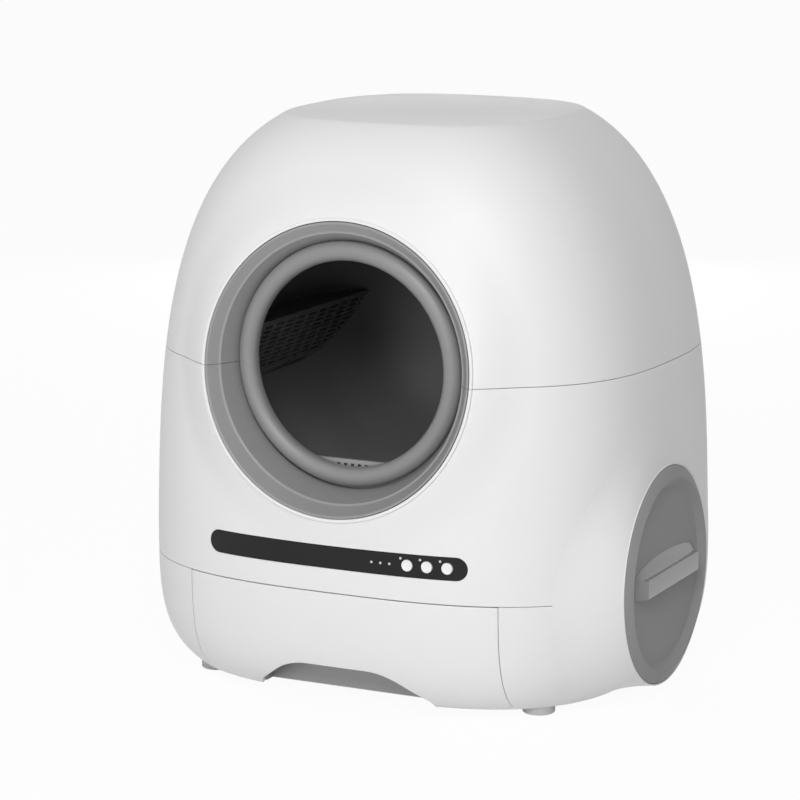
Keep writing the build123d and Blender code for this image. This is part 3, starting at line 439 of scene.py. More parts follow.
def apply(piece, kind, **values):
    """Add a modifier with these values and apply it."""
    pick(piece)
    modifier = piece.modifiers.new(kind.lower(), kind)
    for key, value in values.items():
        setattr(modifier, key, value)
    bpy.ops.object.modifier_apply(modifier=modifier.name)
    return piece


def carve(piece, cutter, operation="DIFFERENCE"):
    """Cut a piece with a second one, or join it on, and drop the second one."""
    apply(piece, "BOOLEAN", object=cutter, operation=operation, solver="EXACT")
    bpy.data.objects.remove(cutter, do_unlink=True)
    return piece


def slice_off(piece, point, normal):
    """Cut away what lies on the side that the normal points to, and close the cut."""
    pick(piece)
    bpy.ops.object.mode_set(mode="EDIT")
    bpy.ops.mesh.select_all(action="SELECT")
    bpy.ops.mesh.bisect(plane_co=point, plane_no=normal, use_fill=True, clear_outer=True)
    bpy.ops.object.mode_set(mode="OBJECT")
    return piece


def rounded(corners, radius, steps=4, closed=True):
    """Outline with each corner replaced by an arc, as far as its edges allow."""
    made = []
    count = len(corners)
    for i, corner in enumerate(corners):
        here = Vector(corner)
        if not closed and i in (0, count - 1):
            made.append(here)
            continue
        before, after = Vector(corners[i - 1]) - here, Vector(corners[(i + 1) % count]) - here
        turn = before.angle(after)
        reach = min(radius / tan(turn / 2), CORNER_SHARE * before.length, CORNER_SHARE * after.length)
        start, end = here + before.normalized() * reach, here + after.normalized() * reach
        for k in range(steps + 1):
            t = k / steps
            made.append(start * (1 - t) ** 2 + here * 2 * t * (1 - t) + end * t**2)
    return made


def turned(name, outline, centre, axis, steps=160):
    """Ring spun about an axis from an outline of (radius, distance along the axis)."""
    along = Vector(axis)
    across = Vector((0, 0, 1)) if abs(along.z) < 0.5 else Vector((1, 0, 0))
    deselect()
    bpy.ops.mesh.primitive_circle_add(vertices=len(outline), radius=1, fill_type="NOTHING")
    piece = named(name)
    for point, (r, d) in zip(piece.data.vertices, outline):
        point.co = Vector(centre) + across * r + along * d
    on_axis = {i for i, (r, _) in enumerate(outline) if r == 0}
    bpy.ops.object.mode_set(mode="EDIT")
    bpy.ops.mesh.select_mode(type="EDGE")
    bpy.ops.mesh.select_all(action="DESELECT")
    bpy.ops.object.mode_set(mode="OBJECT")
    for edge in piece.data.edges:
        edge.select = set(edge.vertices) <= on_axis
    bpy.ops.object.mode_set(mode="EDIT")
    if on_axis:
        bpy.ops.mesh.delete(type="EDGE")
    bpy.ops.mesh.select_mode(type="VERT")
    bpy.ops.mesh.select_all(action="SELECT")
    bpy.ops.mesh.spin(steps=steps, angle=TURN, center=centre, axis=axis)
    bpy.ops.object.mode_set(mode="OBJECT")
    return tidy_faces(piece, merge=NEAR)


def bar(name, low, high):
    """Block between two corners."""
    deselect()
    middle = (Vector(low) + Vector(high)) / 2
    bpy.ops.mesh.primitive_cube_add(size=1, location=middle)
    piece = named(name)
    piece.scale = Vector(high) - Vector(low)
    return settle(piece)


def rod(name, radius, start, end, steps=128):
    """Cylinder between two points along one axis."""
    deselect()
    middle, span = (Vector(start) + Vector(end)) / 2, Vector(end) - Vector(start)
    turn = span.to_track_quat("Z", "Y").to_euler()
    bpy.ops.mesh.primitive_cylinder_add(
        vertices=steps, radius=radius, depth=span.length, location=middle, rotation=turn
    )
    return settle(named(name))


def tube(name, columns, rows, place, ends="NOTHING"):
    """Cylinder of columns by rows whose points are put at place(column, share of its height)."""
    deselect()
    bpy.ops.mesh.primitive_cylinder_add(vertices=columns, radius=1, depth=1, end_fill_type=ends)
    piece = named(name)
    points = piece.data.vertices
    bpy.ops.object.mode_set(mode="EDIT")
    bpy.ops.mesh.select_mode(type="EDGE")
    bpy.ops.mesh.select_all(action="DESELECT")
    bpy.ops.object.mode_set(mode="OBJECT")
    for edge in piece.data.edges:
        edge.select = abs(points[edge.vertices[0]].co.z - points[edge.vertices[1]].co.z) > 0.5
    bpy.ops.object.mode_set(mode="EDIT")
    bpy.ops.mesh.subdivide(number_cuts=rows - 1)
    bpy.ops.mesh.select_mode(type="VERT")
    bpy.ops.object.mode_set(mode="OBJECT")
    for point in piece.data.vertices:
        turn = atan2(point.co.x, point.co.y) / TURN
        point.co = place(round(turn * columns) % columns, point.co.z + 0.5)
    return piece


def skin(name, low, high, rows, columns=320, crowd=1.0):
    """Tube of the housing's outline between two heights; rows crowd towards the top below 1."""

    def place(column, share):
        z = high - (high - low) * (1 - share) ** (1 / crowd)
        return swell(round_top(plan_point(z, TURN * column / columns)))

    return tidy_faces(tube(name, columns, rows, place))


def prism(name, outline, y0, y1):
    """Upright outline of (x, z) points, drawn out along Y."""
    deselect()
    bpy.ops.mesh.primitive_circle_add(vertices=len(outline), radius=1, fill_type="NGON")
    piece = named(name)
    for point, (x, z) in zip(piece.data.vertices, outline):
        point.co = (x, (y0 + y1) / 2, z)
    apply(piece, "SOLIDIFY", thickness=y1 - y0, offset=0)
    return tidy_faces(piece)


def choose_loop(piece, z):
    """Select the ring of edges at one height, in edit mode."""
    bpy.ops.mesh.select_mode(type="EDGE")
    bpy.ops.mesh.select_all(action="DESELECT")
    bpy.ops.object.mode_set(mode="OBJECT")
    points = piece.data.vertices
    for edge in piece.data.edges:
        edge.select = all(abs(points[i].co.z - z) < NEAR for i in edge.vertices)
    bpy.ops.object.mode_set(mode="EDIT")


def round_edges(piece, width, limit, segments=2):
    """Round the edges that are sharper than a limit in degrees."""
    return apply(
        piece, "BEVEL", width=width, segments=segments, limit_method="ANGLE", angle_limit=radians(limit),
        use_clamp_overlap=True,
    )


def thicken(piece, wall, edge):
    """Give a skin its wall, inwards, with rounded rims."""
    apply(piece, "SOLIDIFY", thickness=wall, offset=-1)
    return round_edges(piece, edge, limit=60)


def finish_piece(piece, body, nodes, material, angle=30):
    """Shade a piece, give it its finish and its body, and hide the nodes it stands for."""
    smooth(piece, angle)
    piece.data.materials.clear()
    piece.data.materials.append(material)
    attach(piece, body)
    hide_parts(*nodes)
    return piece


# Materials


def socket(node, name):
    return node.inputs[name]


def blank(name):
    """New material with its node tree, its shader and the coordinates of the piece."""
    material = bpy.data.materials.new(name)
    material.use_nodes = True
    tree = material.node_tree
    place = tree.nodes.new("ShaderNodeTexCoord")
    return material, tree, tree.nodes["Principled BSDF"], place.outputs["Object"]


def plastic(
    name, base, rough, grain=0.12, grain_size=0.6, mottle=0.04, rough_spread=0.06, coat=0.0, shine=0.5
):
    """Moulded plastic: fine grain, slight mottling and uneven gloss."""
    if name in bpy.data.materials:
        return bpy.data.materials[name]
    material, tree, shader, place = blank(name)
    fine = tree.nodes.new("ShaderNodeTexNoise")
    socket(fine, "Scale").default_value = 1 / (grain_size * MM)
    socket(fine, "Detail").default_value = 2
    broad = tree.nodes.new("ShaderNodeTexNoise")
    socket(broad, "Scale").default_value = MOTTLE_SCALE
    socket(broad, "Detail").default_value = 5
    tint = tree.nodes.new("ShaderNodeMix")
    tint.data_type = "RGBA"
    tint.inputs[6].default_value = (*[c * (1 - mottle) for c in base], 1)
    tint.inputs[7].default_value = (*[min(c * (1 + mottle), 1) for c in base], 1)
    gloss = tree.nodes.new("ShaderNodeMapRange")
    socket(gloss, "To Min").default_value = rough - rough_spread
    socket(gloss, "To Max").default_value = rough + rough_spread
    bump = tree.nodes.new("ShaderNodeBump")
    socket(bump, "Strength").default_value = grain
    socket(bump, "Distance").default_value = GRAIN_DEPTH
    links = tree.links
    links.new(place, socket(fine, "Vector"))
    links.new(place, socket(broad, "Vector"))
    links.new(broad.outputs["Fac"], tint.inputs[0])
    links.new(tint.outputs[2], socket(shader, "Base Color"))
    links.new(broad.outputs["Fac"], socket(gloss, "Value"))
    links.new(gloss.outputs["Result"], socket(shader, "Roughness"))
    links.new(fine.outputs["Fac"], socket(bump, "Height"))
    links.new(bump.outputs["Normal"], socket(shader, "Normal"))
    socket(shader, "Coat Weight").default_value = coat
    socket(shader, "Specular IOR Level").default_value = shine
    return material


def metal(name, base, rough):
    """Drawn metal with fine lines along one way."""
    if name in bpy.data.materials:
        return bpy.data.materials[name]
    material, tree, shader, place = blank(name)
    stretch = tree.nodes.new("ShaderNodeMapping")
    socket(stretch, "Scale").default_value = (1, LINE_STRETCH, 1)
    lines = tree.nodes.new("ShaderNodeTexNoise")
    socket(lines, "Scale").default_value = LINE_SCALE
    gloss = tree.nodes.new("ShaderNodeMapRange")
    socket(gloss, "To Min").default_value = rough - LINE_GLOSS_SPREAD
    socket(gloss, "To Max").default_value = rough + LINE_GLOSS_SPREAD
    bump = tree.nodes.new("ShaderNodeBump")
    socket(bump, "Strength").default_value = LINE_STRENGTH
    socket(bump, "Distance").default_value = GRAIN_DEPTH
    links = tree.links
    links.new(place, socket(stretch, "Vector"))
    links.new(stretch.outputs["Vector"], socket(lines, "Vector"))
    links.new(lines.outputs["Fac"], socket(gloss, "Value"))
    links.new(gloss.outputs["Result"], socket(shader, "Roughness"))
    links.new(lines.outputs["Fac"], socket(bump, "Height"))
    links.new(bump.outputs["Normal"], socket(shader, "Normal"))
    socket(shader, "Base Color").default_value = (*base, 1)
    socket(shader, "Metallic").default_value = 1
    return material


def granules(name, dark, pale, size, rough):
    """Packed grains: each cell has its own shade and stands up a little."""
    if name in bpy.data.materials:
        return bpy.data.materials[name]
    material, tree, shader, place = blank(name)
    cells = tree.nodes.new("ShaderNodeTexVoronoi")
    socket(cells, "Scale").default_value = 1 / (size * MM)
    tint = tree.nodes.new("ShaderNodeMix")
    tint.data_type = "RGBA"
    tint.inputs[6].default_value = (*dark, 1)
    tint.inputs[7].default_value = (*pale, 1)
    bump = tree.nodes.new("ShaderNodeBump")
    socket(bump, "Strength").default_value = CELL_STRENGTH
    socket(bump, "Distance").default_value = CELL_DEPTH
    bump.invert = True
    links = tree.links
    links.new(place, socket(cells, "Vector"))
    links.new(cells.outputs["Color"], tint.inputs[0])
    links.new(tint.outputs[2], socket(shader, "Base Color"))
    links.new(cells.outputs["Distance"], socket(bump, "Height"))
    links.new(bump.outputs["Normal"], socket(shader, "Normal"))
    socket(shader, "Roughness").default_value = rough
    return material


def shell_white():
    return plastic("shell_white", finishes().shell, 0.5, grain=0.10, grain_size=0.5, mottle=0.008)


def inner_white():
    return plastic("inner_white", finishes().inside, 0.5, grain=0.2, grain_size=0.8, mottle=0.02)


def funnel_grey():
    return plastic("funnel_grey", finishes().funnel, 0.42, grain=0.18, grain_size=0.6, mottle=0.03)


def ring_grey():
    return plastic("ring_grey", finishes().ring, 0.42, grain=0.18, grain_size=0.6, mottle=0.03)


def cap_grey():
    return plastic("cap_grey", finishes().cap, 0.5, grain=0.15, grain_size=0.6, mottle=0.03, shine=0.05)


def grip_grey():
    return plastic("grip_grey", finishes().grip, 0.26, grain=0.06, grain_size=0.6, mottle=0.03, coat=0.3)


# The drum's colour is lifted above its charcoal plastic as painted light for the dim inside.
def drum_charcoal():
    return plastic("drum_charcoal", finishes().drum, 0.5, grain=0.25, grain_size=0.9, mottle=0.12)


def lens_black():
    return plastic("lens_black", finishes().lens, 0.3, grain=0.02, grain_size=2, mottle=0.1, shine=0.2)


def key_white():
    return plastic("key_white", finishes().key, 0.3, grain=0.05, mottle=0.01)


def sieve_grey():
    return plastic("sieve_grey", (0.16, 0.16, 0.16), 0.5, grain=0.2, grain_size=0.8, mottle=0.08)


# The sill's grey is lighter than the drum's dark plastic it is made of: painted light falling on it from
# the front.
def sill_grey():
    return plastic("sill_grey", (0.30, 0.30, 0.30), 0.5, grain=0.2, mottle=0.03)


# Pale grey; on the drawer's grip pocket, which is white plastic set back in the notch, this grey is painted
# shade of the recess.
def pale_grey():
    return plastic("pale_grey", (0.36, 0.36, 0.36), 0.5, grain=0.2, mottle=0.03)


def lamp_clear():
    return plastic("lamp_clear", (0.62, 0.64, 0.66), 0.15, grain=0.02, mottle=0.02, coat=0.5)


def black_plastic():
    return plastic("black_plastic", (0.03, 0.03, 0.03), 0.45, grain=0.2, mottle=0.1)


def acetal():
    return plastic("acetal", (0.72, 0.70, 0.63), 0.35, grain=0.1, mottle=0.03)


def rubber():
    return plastic("foot_rubber", (0.50, 0.50, 0.50), 0.75, grain=0.35, grain_size=0.5, mottle=0.08)


def roller_rubber():
    return plastic("roller_rubber", (0.06, 0.06, 0.06), 0.8, grain=0.35, grain_size=0.5, mottle=0.1)


def board_green():
    return plastic("board_green", (0.02, 0.13, 0.06), 0.35, grain=0.1, grain_size=3, mottle=0.3)


def motor_paint():
    return plastic("motor_paint", (0.30, 0.30, 0.31), 0.4, grain=0.1, mottle=0.05, coat=0.2)


def steel():
    return metal("zinc_steel", (0.62, 0.62, 0.63), 0.32)


def aluminium():
    return metal("anodised_bar", (0.75, 0.75, 0.77), 0.35)


def carbon():
    return granules("carbon_grains", (0.012, 0.012, 0.012), (0.05, 0.05, 0.05), 3, 0.85)


NODE_FINISHES = {
    "base_tray": shell_white, "lower_shell": shell_white, "upper_cover": shell_white,
    "drawer_front": shell_white, "filter_port": shell_white,
    "upper_bezel": funnel_grey, "lower_bezel": funnel_grey, "mouth_ring": ring_grey,
    "control_lens": lens_black, "status_lamps": lamp_clear,
    "button_left": key_white, "button_middle": key_white, "button_right": key_white,
    "control_board": board_green, "main_board": board_green, "button_switches": black_plastic,
    "drum_front": drum_charcoal, "drum_rear": drum_charcoal, "sieve_screen": sieve_grey,
    "sill_grate": sill_grey, "bag_frame": pale_grey,
    "drum_screws": steel, "motor_screws": steel, "deck_screws": steel, "drum_axle": steel,
    "roller_axles": steel, "ring_gear": acetal, "drive_pinion": acetal, "axle_bush": black_plastic,
    "rear_frame": inner_white, "roller_brackets": inner_white, "drum_deck": inner_white,
    # The grip pocket is white plastic; its grey finish is painted shade of the recess.
    "waste_chute": inner_white, "drawer_grip": pale_grey, "waste_bin": inner_white,
    "drawer_runners": inner_white, "gear_motor": motor_paint,
    "roller_left": roller_rubber, "roller_right": roller_rubber,
    "filter_cap": cap_grey, "cap_grip": grip_grey, "cap_seal": rubber, "feet": rubber,
    "carbon_filter": carbon, "fan_frame": black_plastic, "fan_rotor": black_plastic,
    "load_cells": aluminium, "power_inlet": black_plastic,
}


# Entrance


def lean_back(piece, depth):
    """Lean a ring that was turned upright: fully at its front edge, not at all at a depth behind it."""
    e = entrance()
    for point in piece.data.vertices:
        share = 1 - (point.co.y - e.face) / depth
        point.co.y += tan(e.lean) * share * (point.co.z - e.middle)
    return piece


def funnel_depth():
    """From the funnel's front edge back to the mouth ring's groove."""
    e = entrance()
    return RING_LOW.y + e.lip - e.back_gap - e.face


def drum_middle():
    """Point of the drum's axis at the frame's origin."""
    return 0, 0, (RING_HIGH.z + RING_LOW.z) / 2


def make_funnel():
    """Two-step funnel, still in one piece."""
    e = entrance()
    depth = funnel_depth() + e.overlap
    back = (RING_HIGH.x - RING_LOW.x) / 2 + e.back_gap
    corners = [
        (e.radius, 0), (e.radius - e.rim, 0), (e.step_radius, e.step_depth),
        (e.step_radius - e.step, e.step_depth), (back, depth),
        (back + e.collar, depth), (e.radius - e.rim, e.step_depth),
    ]
    outline = rounded(corners, e.soft)
    piece = turned("funnel", outline, (0, e.face, e.middle), (0, 1, 0))
    return lean_back(piece, depth)


def make_collar(name):
    """Inner wall of the white lip round the funnel."""
    e = entrance()
    inner = e.radius + e.collar_gap
    outer = inner + e.collar
    corners = [(inner, e.collar_depth), (inner, 0), (outer, 0), (outer, e.collar_depth)]
    outline = rounded(corners, e.collar_edge, closed=False)
    piece = turned(name, outline, (0, e.face, e.middle), (0, 1, 0))
    return lean_back(piece, e.collar_depth * COLLAR_FADE)


def make_bore():
    """Cutter for the entrance through the shells."""
    e = entrance()
    start, end = (0, e.face - BORE_REACH, e.middle), (0, e.face + BORE_REACH, e.middle)
    piece = rod("bore", e.radius + e.collar_gap, start, end, steps=160)
    for point in piece.data.vertices:
        point.co.y += tan(e.lean) * (point.co.z - e.middle)
    return piece


def make_mouth_ring(steps=24):
    """Ring with a half-round lip on the drum's mouth."""
    lip = entrance().lip
    outer = (RING_HIGH.x - RING_LOW.x) / 2
    inner, front = outer - 2 * lip, RING_LOW.y + lip
    arc = []
    for i in range(steps + 1):
        turn = pi * i / steps
        arc.append((inner + lip * (1 - cos(turn)), front - lip * sin(turn)))
    outline = [(inner, RING_HIGH.y), *arc, (outer, RING_HIGH.y)]
    return turned("mouth_lip", outline, drum_middle(), (0, 1, 0))


class LITTERBOX_OT_entrance(bpy.types.Operator):
    """Model the grey funnel halves and the drum's mouth ring"""

    bl_idname = "litterbox.entrance"
    bl_label = "Entrance funnel"

    def execute(self, context):
        seam_low, seam_high = seam()
        upper = slice_off(make_funnel(), (0, 0, seam_high), (0, 0, -1))
        upper.name = upper.data.name = "funnel_upper"
        finish_piece(upper, "cover", ["upper_bezel"], funnel_grey())
        lower = slice_off(make_funnel(), (0, 0, seam_low), (0, 0, 1))
        lower.name = lower.data.name = "funnel_lower"
        finish_piece(lower, "housing", ["lower_bezel"], funnel_grey())
        finish_piece(make_mouth_ring(), "drum", ["mouth_ring"], ring_grey())
        return {"FINISHED"}


# Housing


def make_strip_slot(steps=64):
    """Cutter for the control strip: a long slot with round ends."""
    middle = (LENS_HIGH + LENS_LOW) / 2
    radius = LENS_HIGH.z - middle.z + CUT_GAP
    straight = LENS_HIGH.x - middle.x + CUT_GAP - radius
    outline = []
    for i in range(steps):
        turn = TURN * (i + 0.5) / steps
        shift = straight if cos(turn) > 0 else -straight
        outline.append((radius * cos(turn) + shift, middle.z + radius * sin(turn)))
    return prism("strip_slot", outline, *FRONT_SPAN)


def cap_middle():
    """Depth and height of the side cap's axis."""
    return (CAP_LOW.y + CAP_HIGH.y) / 2, (CAP_LOW.z + CAP_HIGH.z) / 2


def make_port_hole():
    """Cutter for the side port through the lower shell."""
    y, z = cap_middle()
    start, end = ((x, y, z) for x in SIDE_SPAN)
    return rod("port_hole", PORT_HIGH.z - z + CUT_GAP, start, end, steps=160)


class LITTERBOX_OT_shells(bpy.types.Operator):
    """Model the upper cover and the lower shell"""

    bl_idname = "litterbox.shells"
    bl_label = "Housing shells"

    def execute(self, context):
        s = housing()
        seam_low, seam_high = seam()
        cover = skin("cover_dome", seam_high, s.height, rows=72, crowd=0.6)
        pick(cover)
        bpy.ops.object.mode_set(mode="EDIT")
        choose_loop(cover, s.height)
        bpy.ops.mesh.edge_face_add()
        bpy.ops.object.mode_set(mode="OBJECT")
        tidy_faces(cover)
        thicken(cover, s.wall, s.edge)
        carve(cover, make_bore())
        ring = slice_off(make_collar("collar"), (0, 0, seam_high), (0, 0, -1))
        carve(cover, ring, "UNION")
        finish_piece(cover, "cover", ["upper_cover"], shell_white(), angle=20)

        shell = skin("shell_band", SHELL_LOW.z, seam_low, rows=48)
        thicken(shell, s.wall, s.edge)
        carve(shell, make_bore())
        carve(shell, make_strip_slot())
        carve(shell, make_port_hole())
        ring = slice_off(make_collar("collar"), (0, 0, seam_low), (0, 0, 1))
        carve(shell, ring, "UNION")
        finish_piece(shell, "housing", ["lower_shell"], shell_white(), angle=20)
        return {"FINISHED"}


# Side port


class LITTERBOX_OT_port(bpy.types.Operator):
    """Model the port's neck and the skirt that eases it into the housing"""

    bl_idname = "litterbox.port"
    bl_label = "Side port"

    def execute(self, context):
        s = context.scene.litterbox_port
        y, z = cap_middle()
        lip, radius = PORT_HIGH.x, PORT_HIGH.z - z
        columns = 192

        def place(column, share):
            turn = TURN * column / columns
            across, up = cos(turn), sin(turn)
            reach = s.reach
            if up < 0:
                reach = min(reach, (z - BASE_LOW.z - s.foot) / -up - radius)
            r = radius + max(reach, s.film) * (1 - share)
            base = side_x(y + r * across, z + r * up) + s.film
            return base + (lip - s.edge - base) * share**s.ease, y + r * across, z + r * up

        skirt = tidy_faces(tube("port_skirt", columns, rows=24, place=place))
        apply(skirt, "SOLIDIFY", thickness=s.wall, offset=-1)
        corners = [
            (radius - s.wall, PORT_LOW.x), (radius - s.wall, lip), (radius, lip), (radius, PORT_LOW.x),
        ]
        neck = turned("port_neck", rounded(corners, s.edge, closed=False), (0, y, z), (1, 0, 0), columns)
        carve(skirt, neck, "UNION")
        finish_piece(skirt, "housing", ["filter_port"], shell_white(), angle=35)
        return {"FINISHED"}


# Drum


def bow(start, middle, end, steps=16):
    """Points of a curve through three points."""
    made = []
    for i in range(steps + 1):
        t = i / steps
        parts = ((start, 2 * (t - 0.5) * (t - 1)), (middle, 4 * t * (1 - t)), (end, 2 * t * (t - 0.5)))
        made.append(tuple(sum(p[k] * w for p, w in parts) for k in (0, 1)))
    return made


def front_profile(inset):
    """Front half's outline from the mouth to the split, drawn in by inset."""
    s = drum()
    front = FRONT_LOW.y + inset
    track, belly = s.track - inset, s.radius - inset
    track_end = FRONT_LOW.y + s.track_length
    start = track_end + s.shoulder
    middle = ((track + belly) / 2 + (belly - track) * s.bulge, (track_end + start) / 2)
    shoulder = bow((track, track_end), middle, (belly, start))
    return [(s.mouth, front), (track, front), *shoulder, (belly, FRONT_HIGH.y)]


def rear_profile(inset, steps=32):
    """Rear half's outline from the split to the axle, one smooth dome drawn in by inset."""
    s = drum()
    belly, depth = s.radius - inset, REAR_HIGH.y - REAR_LOW.y - inset
    bend = 2 / s.dome_power
    outline = []
    for i in range(steps):
        turn = pi / 2 * i / steps
        r, d = belly * cos(turn) ** bend, depth * sin(turn) ** bend
        if r > s.axle:
            outline.append((r, REAR_LOW.y + d))
    return [*outline, (s.axle, REAR_LOW.y + depth)]


def make_waste_port():
    """Cutter for the waste port in the drum's belly."""
    s = drum()
    middle = REAR_LOW.y + s.port_start + s.port_length / 2
    half = Vector((0, s.port_length / 2, s.port_width / 2))
    piece = bar("waste_port", -half, half + Vector((2 * s.radius, 0, 0)))
    height = drum_middle()[2]
    across, up = cos(s.port_angle), sin(s.port_angle)
    for point in piece.data.vertices:
        x, y, z = point.co
        point.co = (x * across - z * up, middle + y, height + x * up + z * across)
    return piece


def make_sieve():
    """The sieve, ended inside the wall of the domed rear."""
    s = drum()
    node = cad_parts["sieve_screen"]
    piece = bar("sieve_plate", *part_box("sieve_screen"))
    piece.data = node.data.copy()
    piece.data.name = piece.name
    piece.matrix_world = node.matrix_world.copy()
    tidy_faces(piece)
    rear = rear_profile(s.wall / 2)
    front = FRONT_LOW.y - s.radius
    outline = [(0, front), (s.radius, front), *rear, (0, rear[-1][1])]
    room = turned("drum_room", outline, drum_middle(), (0, 1, 0), steps=192)
    return carve(piece, room, "INTERSECT")


class LITTERBOX_OT_drum(bpy.types.Operator):
    """Model the two halves of the drum and end its sieve in them"""

    bl_idname = "litterbox.drum"
    bl_label = "Drum"

    def execute(self, context):
        s = drum()
        rim, split = s.radius + s.flange, FRONT_HIGH.y
        before, behind = split - s.flange_thick, split + s.flange_thick
        outline = [
            *front_profile(0)[:-1], (s.radius, before), (rim, before), (rim, split),
            *reversed(front_profile(s.wall)),
        ]
        half = turned("drum_half_front", outline, drum_middle(), (0, 1, 0), steps=192)
        finish_piece(half, "drum", ["drum_front"], drum_charcoal())
        outline = [
            (rim, split), (rim, behind), (s.radius, behind), *rear_profile(0)[1:],
            *reversed(rear_profile(s.wall)),
        ]
        half = turned("drum_half_rear", outline, drum_middle(), (0, 1, 0), steps=192)
        carve(half, make_waste_port())
        finish_piece(half, "drum", ["drum_rear"], drum_charcoal())
        finish_piece(make_sieve(), "drum", ["sieve_screen"], sieve_grey())
        return {"FINISHED"}


# Waste drawer


def make_notch():
    """Cutter for the grip notch, from below the front up to its rounded top."""
    s = bpy.context.scene.litterbox_drawer
    foot = DRAWER_LOW.z - s.notch_knee
    corners = [
        (-s.notch_half, foot), (-s.notch_half, s.notch_knee), (-s.notch_top_half, s.notch_top),
        (s.notch_top_half, s.notch_top), (s.notch_half, s.notch_knee), (s.notch_half, foot),
    ]
    return prism("notch", rounded(corners, s.notch_corner, steps=6), *FRONT_SPAN)


class LITTERBOX_OT_drawer(bpy.types.Operator):
    """Model the drawer's front with its grip notch"""

    bl_idname = "litterbox.drawer"
    bl_label = "Drawer front"

    def execute(self, context):
        s = context.scene.litterbox_drawer
        half = (DRAWER_HIGH.x - DRAWER_LOW.x) / 2
        low, high = DRAWER_LOW.z, DRAWER_HIGH.z
        deselect()
        bpy.ops.mesh.primitive_grid_add(x_subdivisions=96, y_subdivisions=40, size=2)
        front = named("drawer_panel")
        for point in front.data.vertices:
            x, z = half * point.co.x, low + (high - low) * (point.co.y + 1) / 2
            point.co = (x, front_y(x, z), z)
        apply(front, "SOLIDIFY", thickness=s.wall, offset=-1)
        tidy_faces(front)
        carve(front, make_notch())
        round_edges(front, s.edge, limit=50)
        finish_piece(front, "drawer", ["drawer_front"], shell_white(), angle=25)
        return {"FINISHED"}


# Side cap


def make_cap_disc():
    """Dished disc with a sloping rim, and the spigot behind it."""
    s = bpy.context.scene.litterbox_cap
    y, z = cap_middle()
    radius, face = CAP_HIGH.z - z, CAP_HIGH.x
    floor, back, end = face - s.dish, face - s.plate, CAP_LOW.x
    crest = radius - s.rim_width
    corners = [
        (0, floor), (crest - s.draft, floor), (crest, face), (radius, face - s.rim_rise), (radius, back),
    ]
    bore = s.spigot - s.spigot_wall
    spigot = [(s.spigot, back), (s.spigot, end), (bore, end), (bore, back), (0, back)]
    outline = [*rounded(corners, s.rim_edge, closed=False), *spigot]
    return turned("cap_disc", outline, (0, y, z), (1, 0, 0), steps=192)


def make_grip_bar():
    """Grip bar on the dish: flat below, and above it runs back to the dish in a rising bow."""
    s = bpy.context.scene.litterbox_cap
    middle = cap_middle()[0]
    floor, crest = CAP_HIGH.x - s.dish, GRIP_HIGH.x
    foot_half, crest_half = (GRIP_HIGH.y - GRIP_LOW.y) / 2, s.crest_length / 2
    ledge = GRIP_LOW.z + s.crest

    def place(column, share):
        along = 2 * share - 1
        if column <= 1:
            x, z = (floor, crest)[column], GRIP_LOW.z
        else:
            ramp = min((column - 2) / RAMP_STEPS, 1)
            reach = (GRIP_HIGH.z - ledge) * (1 - along**2) ** 0.5
            x, z = crest - (crest - floor) * ramp**s.ramp_fall, ledge + reach * ramp**s.ramp_rise
        height = (x - floor) / (crest - floor)
        return x, middle + along * (foot_half + (crest_half - foot_half) * height), z

    piece = tube("cap_grip_bar", RAMP_STEPS + 3, rows=40, place=place, ends="NGON")
    return round_edges(tidy_faces(piece), s.grip_edge, limit=40, segments=3)


class LITTERBOX_OT_cap(bpy.types.Operator):
    """Model the dished side cap and its grip bar"""

    bl_idname = "litterbox.cap"
    bl_label = "Side cap"

    def execute(self, context):
        finish_piece(make_cap_disc(), "cap", ["filter_cap"], cap_grey())
        finish_piece(make_grip_bar(), "cap", ["cap_grip"], grip_grey(), angle=35)
        return {"FINISHED"}


# Keys


def make_key(side):
    """Key with a finger dish, a flange behind the shell and a stem."""
    s = bpy.context.scene.litterbox_buttons
    low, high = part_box(f"button_{side}")
    flange = (high.z - low.z) / 2
    x, z = (low.x + high.x) / 2, (low.z + high.z) / 2
    face, dish = low.y, low.y + s.dish
    step = front_y(x + flange, z) + housing().wall + KEY_GAP
    behind, stem = step + KEY_FLANGE, KEY_RADIUS / 2
    corners = [
        (0, dish), (s.dish_radius, dish), (KEY_RADIUS - 2 * s.edge, face), (KEY_RADIUS, face),
        (KEY_RADIUS, step), (flange, step), (flange, behind), (stem, behind), (stem, high.y), (0, high.y),
    ]
    return turned(f"key_{side}", rounded(corners, s.edge, closed=False), (x, 0, z), (0, 1, 0), steps=64)


class LITTERBOX_OT_buttons(bpy.types.Operator):
    """Model the three round keys"""

    bl_idname = "litterbox.buttons"
    bl_label = "Buttons"

    def execute(self, context):
        for side in ("left", "middle", "right"):
            finish_piece(make_key(side), f"{side}_button", [f"button_{side}"], key_white())
        return {"FINISHED"}


# Finishes of the pieces that keep their own shape


class LITTERBOX_OT_finishes(bpy.types.Operator):
    """Give every piece of the frame its finish"""

    bl_idname = "litterbox.finishes"
    bl_label = "Finishes"

    def execute(self, context):
        for name, finish in NODE_FINISHES.items():
            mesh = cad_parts[name].data
            mesh.materials.clear()
            mesh.materials.append(finish())
        return {"FINISHED"}


# Stage


def area_light(name, power, size, place):
    """Square soft light that looks at the object."""
    deselect()
    bpy.ops.object.light_add(type="AREA", location=place)
    lamp = bpy.context.object
    lamp.name = lamp.data.name = name
    lamp.data.energy = power
    lamp.data.size = size
    lamp.rotation_euler = (Vector(LIGHT_AIM) - Vector(place)).to_track_quat("-Z", "Y").to_euler()


